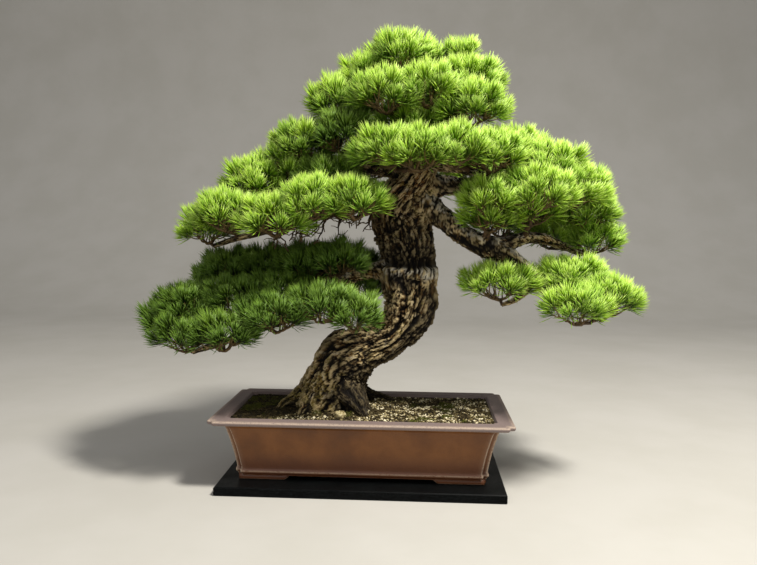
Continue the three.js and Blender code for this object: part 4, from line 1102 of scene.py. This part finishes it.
def build_foliage():
    """Every spray's twigs in one piece, and its needles in the piece of its part of the tree."""
    needles, twigs = needle_material(), []
    for group, (piece_name, sprays) in enumerate(FOLIAGE.items()):
        parts = []
        for number, (spray, dome) in enumerate(sprays.items()):
            rng = np.random.default_rng(1000 + 20 * group + number)
            plan = spray_plan(dome, rng)
            twigs += twig_parts(plan, rng)
            deep = DEEP_GREEN.get(piece_name, 0.0) + DEEP_GREEN.get(spray, 0.0)
            parts.append(needle_parts(plan, deep, rng))
        nodes = [f"spray_{name}" for name in sprays if f"spray_{name}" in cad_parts]
        dressed(mesh_piece(piece_name, *joined(parts)), needles, "needles", *nodes)
    twigs += bare_twigs(np.random.default_rng(404))
    every = [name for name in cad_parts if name.startswith("spray_")]
    dressed(mesh_piece("twigs", *joined(twigs)), twig_material(), "bark", *every)


# ---- Pot ----------------------------------------------------------------------------------------


def notched_outline(half_x, half_y, notch, long_steps=60, short_steps=28):
    """A rectangle with a rounded notch at each corner, anticlockwise: two round cusps and a hollow between
    them, all as quarter arcs, joined by straight runs."""
    cusp, hollow = 0.34 * notch, 0.4 * notch
    quarter = np.radians(np.linspace(0, 90, 7))
    rise = np.column_stack([np.cos(quarter), np.sin(quarter)])
    first = [half_x - cusp, half_y - notch - cusp] + cusp * rise
    dent = [half_x - notch + hollow, half_y - notch + hollow] - hollow * rise[::-1]
    second = [half_x - notch - cusp, half_y - cusp] + cusp * rise
    corner = np.vstack([first, dent, second])
    corners = [corner, (corner * [-1, 1])[::-1], -corner, (corner * [1, -1])[::-1]]
    outline = []
    for i, points in enumerate(corners):
        steps = long_steps if i % 2 == 0 else short_steps
        run = np.linspace(points[-1], corners[(i + 1) % 4][0], steps + 1)[1:-1]
        outline += [points, run]
    return np.vstack(outline)


def pot_ring(depth, inset, notch=POT["notch"]):
    """The pot's outline at one depth below the rim, drawn in by inset, in millimetres."""
    outline = notched_outline(POT["length"] / 2 - inset, POT["width"] / 2 - inset, notch)
    return np.column_stack([outline, np.full(len(outline), RIM_TOP - depth)])


def smooth_profile(levels, between):
    """A profile of (depth, inset) levels with rounded steps put between them."""
    table = np.column_stack([np.array(levels, float), np.zeros((len(levels), 2))])
    return spline(table, np.linspace(0, 1, between * (len(levels) - 1) + 1))[:, :2]


def drilled_floor(ring, faces_up):
    """A flat floor inside a level ring with two round drain holes: points and triangles."""
    turn = np.linspace(0, 2 * np.pi, DRAIN["sides"], endpoint=False)
    hole = np.column_stack([np.cos(turn), np.sin(turn)]) * DRAIN["radius"]
    loops = [ring[:, :2], hole + [DRAIN["x"], 0], hole - [DRAIN["x"], 0]]
    triangles = np.array(tessellate_polygon([[(x, y, 0) for x, y in loop] for loop in loops]))
    level = np.vstack(loops)
    corners = level[triangles]
    upwards = np.cross(corners[:, 1] - corners[:, 0], corners[:, 2] - corners[:, 0]) > 0
    triangles[upwards != faces_up] = triangles[upwards != faces_up][:, ::-1]
    return np.column_stack([level, np.full(len(level), ring[0, 2])]), triangles


def pot_wall():
    """The pot's wall in rings: up the outside, over the lip's shallow arch and down the inside. Returns them
    and how many lie outside."""
    outside, inside = smooth_profile(POT_OUTSIDE, 4), smooth_profile(POT_INSIDE, 5)
    wall = [pot_ring(depth, inset) for depth, inset in outside[::-1]]
    wall += [pot_ring(0.4 * np.sin(np.pi * s), 6 + 24 * s, 12 - 5 * s) for s in np.linspace(0, 1, 8)[1:-1]]
    wall += [pot_ring(depth, inset, 7 + 5 * min(depth / 25, 1)) for depth, inset in inside]
    return np.array(wall), len(outside)


def pot_marks(rings, outside):
    """Where the clay is worn or dusty. edge: the notches' cusps, the lip's edge, the bead low on the wall and the
    arris under the lip. lip: the rim and all that lies inside it at that depth. low: towards the foot."""
    outer = (np.arange(len(rings)) < outside)[:, None]
    depth = RIM_TOP - rings[..., 2]
    reach = np.abs(rings[..., :2])
    away = reach.max(axis=1, keepdims=True) - reach
    tip, notch = 1.6, POT["notch"] + 0.5
    cusps = [np.hypot(away[..., 0] - a, away[..., 1] - b) for a, b in ((tip, notch), (notch, tip))]
    edge = 0.95 * bell(np.minimum(*cusps), 2.6) * smoothstep(14, 24, depth)
    edge = edge + 0.6 * bell(depth - 1.6, 1.8) + 0.55 * bell(depth - 111.6, 1.6) + 0.6 * bell(depth - 9.4, 1.5)
    return {
        "edge": np.clip(edge * outer, 0, 1),
        "lip": falling(8.5, 12, depth),
        "low": smoothstep(60, 108, depth) * outer,
    }


def pot_shell():
    """The pot's wall as one loft, closed by drilled floors below and above and by the walls of the holes."""
    rings, outside = pot_wall()
    rows, columns, _ = rings.shape
    sides = DRAIN["sides"]
    below, below_faces = drilled_floor(rings[0], False)
    above, above_faces = drilled_floor(rings[-1], True)
    points = np.vstack([rings.reshape(-1, 3), below, above])
    start_below = rows * columns
    start_above = start_below + len(below)
    faces = [wall_faces(rows, columns), below_faces + start_below, above_faces + start_above]
    k = np.arange(sides)
    for first in (columns, columns + sides):
        low_a, low_b = start_below + first + k, start_below + first + (k + 1) % sides
        high_a, high_b = low_a + len(below), low_b + len(below)
        faces.append(np.stack([low_b, low_a, high_a, low_b, high_a, high_b], axis=-1).reshape(-1, 3))
    bare = np.zeros(len(below) + len(above))
    marks = {name: np.concatenate([v.ravel(), bare]) for name, v in pot_marks(rings, outside).items()}
    return points * MM, np.vstack(faces), marks


def foot_part(run, turn, shift):
    """One run of a foot: an ogee outline that is level underneath and curls up at its end, given a thickness
    with rounded edges, turned about +Z and moved into place."""
    top, curl = POT["foot_height"] + 1, FOOT["curl"]
    sweep = np.linspace(0, 1, 12)
    x = np.concatenate([np.linspace(0, run - curl - 1, 12), run - curl + curl * sweep])
    curl_z = POT["foot_height"] * smoothstep(0.05, 0.95, sweep) * (0.9 + 0.1 * sweep)
    z = np.concatenate([np.zeros(12), curl_z])[:, None]
    y = np.array([-0.5, -0.44, -0.3, 0.3, 0.44, 0.5, 0.5, -0.5]) * FOOT["thick"]
    lift = np.array([3.0, 0.8, 0.0, 0.0, 0.8, 3.0, top, top])
    rings = np.stack(np.broadcast_arrays(x[:, None], y, np.minimum(z + lift, top)), axis=-1)
    c, s = np.cos(turn), np.sin(turn)
    rings = (rings @ np.array([[c, s, 0], [-s, c, 0], [0, 0, 1]]) + np.array(shift)) * MM
    edge = np.zeros(rings.shape[:2])
    edge[:, [1, 4]] = 0.6
    return closed_rings(rings, {"edge": edge, "lip": 0 * edge, "low": 0 * edge + 0.9})


def build_pot():
    """The pot in one piece: its shell and four corner feet of two runs each."""
    parts = [pot_shell()]
    set_in = POT_OUTSIDE[-1][1] + FOOT["set_in"]
    corner_x, corner_y = POT["length"] / 2 - set_in, POT["width"] / 2 - set_in
    half = FOOT["thick"] / 2
    for sx in (-1, 1):
        for sy in (-1, 1):
            front = (sx * (corner_x - FOOT["notch"]), sy * (corner_y - half), BOARD_TOP)
            side = (sx * (corner_x - half), sy * (corner_y - POT["notch"]), BOARD_TOP)
            parts.append(foot_part(FOOT["front"], 0 if sx < 0 else np.pi, front))
            parts.append(foot_part(FOOT["side"], -sy * np.pi / 2, side))
    piece = mesh_piece("clay_pot", *joined(parts))
    merge_close(piece, 1e-6)
    dressed(piece, clay_material(), "clay", "pot")


def merge_close(piece, distance):
    """Joins points that lie on each other, so that separate loops become one closed surface."""
    work = bmesh.new()
    work.from_mesh(piece.data)
    bmesh.ops.remove_doubles(work, verts=work.verts, dist=distance)
    bmesh.ops.recalc_face_normals(work, faces=work.faces)
    work.to_mesh(piece.data)
    work.free()


# ---- Soil, granules and moss ------------------------------------------------------------------


def lumps(x, y):
    """Height of the mossy lumps at the trunk's foot, in millimetres."""
    return sum(high * np.exp(-(np.hypot(x - at_x, y - at_y) / reach) ** 4) for at_x, at_y, reach, high in LUMPS)


def ground(x, y, inward=1.0):
    """The soil's height in millimetres: a mound round the trunk, mossy lumps, and low waves that die out at
    the rim."""
    away = np.hypot(x - SOIL["mound_x"], 1.6 * y) / SOIL["mound_reach"]
    waves = SOIL["wave"] * np.sin(x / 19 + 1) * np.cos(y / 14) + 1.8 * flat_fractal(x / 15, y / 15, 2, 207)
    return RIM_TOP - SOIL["depth_at_rim"] + inward * waves + SOIL["mound"] * bell(away, 1) + lumps(x, y)


def mossy(x, y):
    """Where moss grows on the soil, from 0 to 1: patches, with more to the left and on the lumps."""
    base = flat_fractal(x / 34, y / 26, 3, 201) + 0.1 * smoothstep(60, 250, x)
    left = bell(x + 225, 32) * bell(y - 10, 40) + bell(x + 190, 28) * bell(y - 60, 30)
    return smoothstep(0.5, 1.0, base + 0.9 * left + 0.13 * lumps(x, y))


def off_trunk(x, y, clear):
    """Where the soil is bare of the trunk's foot, which reaches out so far."""
    return np.hypot(x - TRUNK[0][0], y - TRUNK[0][1]) > clear


def soil_body():
    """The soil from the pot's floor up its walls and over the top, in rings that close at the mound."""
    walls = [pot_ring(depth, inset, notch) for depth, inset, notch in SOIL_WALL]
    edge = walls[-1]
    share = np.linspace(0, 1, 70)[1:-1, None]
    x = edge[:, 0] + (SOIL["mound_x"] - edge[:, 0]) * share
    y = edge[:, 1] * (1 - share)
    fine = 0.7 * flat_fractal(x / 3, y / 3, 2, 5)
    top = np.stack([x, y, ground(x, y, np.minimum(share * 8, 1)) - 1.2 + fine], axis=-1)
    rings = np.concatenate([np.array(walls), top])
    tone = 0.12 + 0.1 * scatter(np.round(rings[..., :2] * 2), 9)
    return closed_rings(rings * MM, {"tone": tone, "moss": 0.35 * mossy(rings[..., 0], rings[..., 1])})


def icosahedron():
    """A unit icosahedron: the corners of three golden rectangles, and the twenty triangles between them."""
    g = (1 + 5**0.5) / 2
    golden = [(-1, g), (1, g), (-1, -g), (1, -g)]
    points = [(a, b, 0) for a, b in golden] + [(0, a, b) for a, b in golden] + [(b, 0, a) for a, b in golden]
    faces = [
        (0, 11, 5), (0, 5, 1), (0, 1, 7), (0, 7, 10), (0, 10, 11), (1, 5, 9), (5, 11, 4),
        (11, 10, 2), (10, 7, 6), (7, 1, 8), (3, 9, 4), (3, 4, 2), (3, 2, 6), (3, 6, 8), (3, 8, 9),
        (4, 9, 5), (2, 4, 11), (6, 2, 10), (8, 6, 7), (9, 8, 1),
    ]
    return unit(np.array(points)), np.array(faces)


def granules():
    """Loose grains over the soil, one in each cell of a jittered lattice: an uneven twenty-faced lump each."""
    rng = np.random.default_rng(77)
    half_x, half_y, pitch, shift = (GRAIN[key] for key in ("half_x", "half_y", "pitch", "shift"))
    x, y = np.meshgrid(np.arange(-half_x, half_x, pitch), np.arange(-half_y, half_y, pitch))
    x = x.ravel() + rng.uniform(-shift, shift, x.size)
    y = y.ravel() + rng.uniform(-shift, shift, y.size)
    past_x, past_y = np.abs(x) - half_x, np.abs(y) - half_y
    inside = (np.maximum(past_x, past_y) < 0) & (np.minimum(past_x, past_y) < -GRAIN["corner"])
    inside &= off_trunk(x, y, GRAIN["clear"])
    x, y = x[inside], y[inside]
    count = len(x)
    moss = mossy(x, y)
    size = rng.uniform(*GRAIN["size"], count) * (1 - 0.2 * moss)
    shape, faces = icosahedron()
    lump = shape * (1 + 0.22 * rng.normal(0, 1, (count, 12, 1))) * size[:, None, None]
    lump = lump * rng.uniform(0.65, 1.1, (count, 1, 3))
    spin = rng.uniform(0, 2 * np.pi, count)[:, None]
    c, s = np.cos(spin), np.sin(spin)
    turned = [lump[..., 0] * c - lump[..., 1] * s, lump[..., 0] * s + lump[..., 1] * c, 0.75 * lump[..., 2]]
    centre = np.column_stack([x, y, ground(x, y) - 0.6 + rng.uniform(-1.2, 1.4, count)])
    points = (centre[:, None] + np.stack(turned, axis=-1)).reshape(-1, 3) * MM
    # Painted light and shade in the granules' tone: lit and shaded patches, and the soil painted darker to the
    # left, as if in the tree's shadow, and lighter to the right and along part of the front, as if in sun.
    lit = smoothstep(-0.5, 0.5, flat_fractal(x / 26, y / 15, 2, 211))
    painted_sun_side = np.maximum(smoothstep(-90, 60, x), 0.8 * smoothstep(-62, -84, y) * smoothstep(-230, -150, x))
    tone = np.clip(rng.beta(0.7, 0.8, count) * (0.18 + 0.9 * painted_sun_side) * (0.3 + 1.15 * lit), 0, 1)
    green = np.clip(0.9 * moss * rng.uniform(0.3, 1.1, count), 0, 1)
    return points, copies(faces, 12, count), {"tone": np.repeat(tone, 12), "moss": np.repeat(green, 12)}


def pale_stone():
    """A small pale stone that lies at the trunk's foot: a lumpy ball, wider than high."""
    x, y = STONE["x"], STONE["y"]
    polar = np.linspace(0.04, np.pi - 0.04, 22)[:, None]
    angle = -2 * np.pi * np.arange(30)[None] / 30
    level = 0 * angle
    across = np.sin(polar)
    ball = np.stack([across * np.cos(angle), across * np.sin(angle), np.cos(polar) + level], axis=-1)
    lump = ball * (1 + 0.22 * fractal(ball * 1.6, 3, 311))[..., None] * STONE["reach"]
    tone = 0.66 + 0.25 * fractal(ball * 4, 3, 312)
    return closed_rings(([x, y, ground(x, y) + 1] + lump) * MM, {"tone": tone, "moss": 0 * tone})


def moss_blades():
    """Moss cushions: short three-sided blades that stand up from the mossy soil, leaning every way."""
    rng = np.random.default_rng(78)
    half_x, half_y, tries = MOSS["half_x"], MOSS["half_y"], MOSS["tries"]
    x, y = rng.uniform(-half_x, half_x, tries), rng.uniform(-half_y, half_y, tries)
    grows = (rng.random(tries) < MOSS["dense"] * mossy(x, y) ** 2) & off_trunk(x, y, MOSS["clear"])
    x, y = x[grows], y[grows]
    count = len(x)
    root = np.column_stack([x, y, ground(x, y) + 0.4])
    way = unit(np.column_stack([rng.normal(0, 0.5, (count, 2)), np.ones(count)]))
    tip = root + way * rng.uniform(*MOSS["tall"], (count, 1))
    corner = 2 * np.pi * np.arange(3) / 3 + rng.uniform(0, 2, (count, 1))
    ring = root[:, None] + MOSS["thick"] * np.stack([np.cos(corner), np.sin(corner), 0 * corner], axis=-1)
    points = np.concatenate([ring, tip[:, None]], axis=1).reshape(-1, 3) * MM
    blade = np.array([[0, 2, 1], [0, 1, 3], [1, 2, 3], [2, 0, 3]])
    return points, copies(blade, 4, count), {"tone": np.repeat(rng.random(count), 4), "moss": np.ones(4 * count)}


def build_soil():
    """The soil, its granules, its moss and the pale stone, a piece each."""
    finish = soil_material()
    parts = {"soil_body": soil_body, "soil_granules": granules, "moss": moss_blades, "pale_stone": pale_stone}
    for name, part in parts.items():
        dressed(mesh_piece(name, *part(), smooth=part is not granules), finish, "soil", "soil")


# ---- Nodes that are shown as they are ----------------------------------------------------------


def finish_nodes():
    """The board and the drain screens keep their solids and get their finishes."""
    finishes = {"display_board": board_material(), "drain_screen_left": screen_material()}
    finishes["drain_screen_right"] = finishes["drain_screen_left"]
    for name, material in finishes.items():
        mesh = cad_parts[name].data
        mesh.materials.clear()
        mesh.materials.append(material)


# ---- Stage: floor, light and camera -----------------------------------------------------------

CAMERA = {"place": (0.1105, -1.471, 0.5156), "yaw": 3.2487, "pitch": -4.0451, "roll": 0.4297, "focal": 33.51}
TREE_MIDDLE = (0.03, 0.0, 0.45)

# The floor in metres: how far it reaches each way and behind, and the bend and height of the backdrop.
FLOOR = {"side": 30.0, "back": 2.6, "bend": 2.2, "top": 14.0}

# Lamps: place, size, power and colour. The key stands high at the front right and the fill in front.
LAMPS = {
    "key": ((1.25, -1.15, 2.75), 0.45, 165, (1.0, 0.97, 0.89)),
    "fill": ((-1.2, -2.4, 1.9), 1.6, 10, (0.97, 0.98, 1.0)),
}
SURROUND = {"Color": (0.86, 0.86, 0.85, 1), "Strength": 0.6}


def build_floor():
    """A plain pale floor that runs on behind into a curved pale backdrop, so that no edge shows."""
    turn = np.radians(np.linspace(0, 90, 25))
    side, back, bend = FLOOR["side"], FLOOR["back"], FLOOR["bend"]
    along = np.concatenate([[-side], back + bend * np.sin(turn), [back + bend]])
    height = np.concatenate([[0.0], bend - bend * np.cos(turn), [FLOOR["top"]]])
    edges = [np.column_stack([np.full(len(along), x), along, height]) for x in (-side, side)]
    count = len(along)
    faces = [(i, count + i, count + i + 1, i + 1) for i in range(count - 1)]
    mesh = bpy.data.meshes.new("floor")
    mesh.from_pydata(np.vstack(edges).tolist(), [], faces)
    mesh.shade_smooth()
    material, tree, shader = new_material("pale_floor", Roughness=0.85, Specular_IOR_Level=0.1)
    worn = worn_by(tree, 3.0, 60.0, 40.0)
    surface(tree, shader, mixed(tree, worn["Patches"], 0xACA9A3, 0xB1AEA9))
    mesh.materials.append(material)
    floor = in_scene("floor", mesh)


def soft_lamp(name, where, size, power, colour):
    """A square soft lamp that faces the middle of the tree."""
    lamp = bpy.data.lights.new(name, "AREA")
    lamp.size, lamp.energy, lamp.color = size, power, colour
    back = unit(np.array(where) - TREE_MIDDLE)
    right = unit(np.cross([0, 0, 1], back))
    turn = Matrix(np.column_stack([right, np.cross(back, right), back]).tolist()).to_4x4()
    in_scene(name, lamp).matrix_world = Matrix.Translation(where) @ turn


def build_light():
    """The lamps, and a pale surround."""
    for name, lamp in LAMPS.items():
        soft_lamp(name, *lamp)
    world = bpy.data.worlds.new("surround")
    world.use_nodes = True
    for socket, value in SURROUND.items():
        world.node_tree.nodes["Background"].inputs[socket].default_value = value
    bpy.context.scene.world = world
    bpy.context.scene.view_settings.view_transform = "Standard"


def build_camera():
    """The camera stands in front and looks slightly down."""
    lens = bpy.data.cameras.new("camera")
    lens.lens, lens.sensor_width, lens.clip_end = CAMERA["focal"], 36.0, 200.0
    yaw, pitch, roll = (np.radians(CAMERA[key]) for key in ("yaw", "pitch", "roll"))
    turn = Matrix.Rotation(yaw, 4, "Z") @ Matrix.Rotation(np.pi / 2 + pitch, 4, "X")
    camera = in_scene("camera", lens)
    camera.matrix_world = Matrix.Translation(CAMERA["place"]) @ turn @ Matrix.Rotation(roll, 4, "Z")
    bpy.context.scene.camera = camera


build_camera()
build_light()
build_floor()
build_wood()
build_foliage()
build_pot()
build_soil()
finish_nodes()
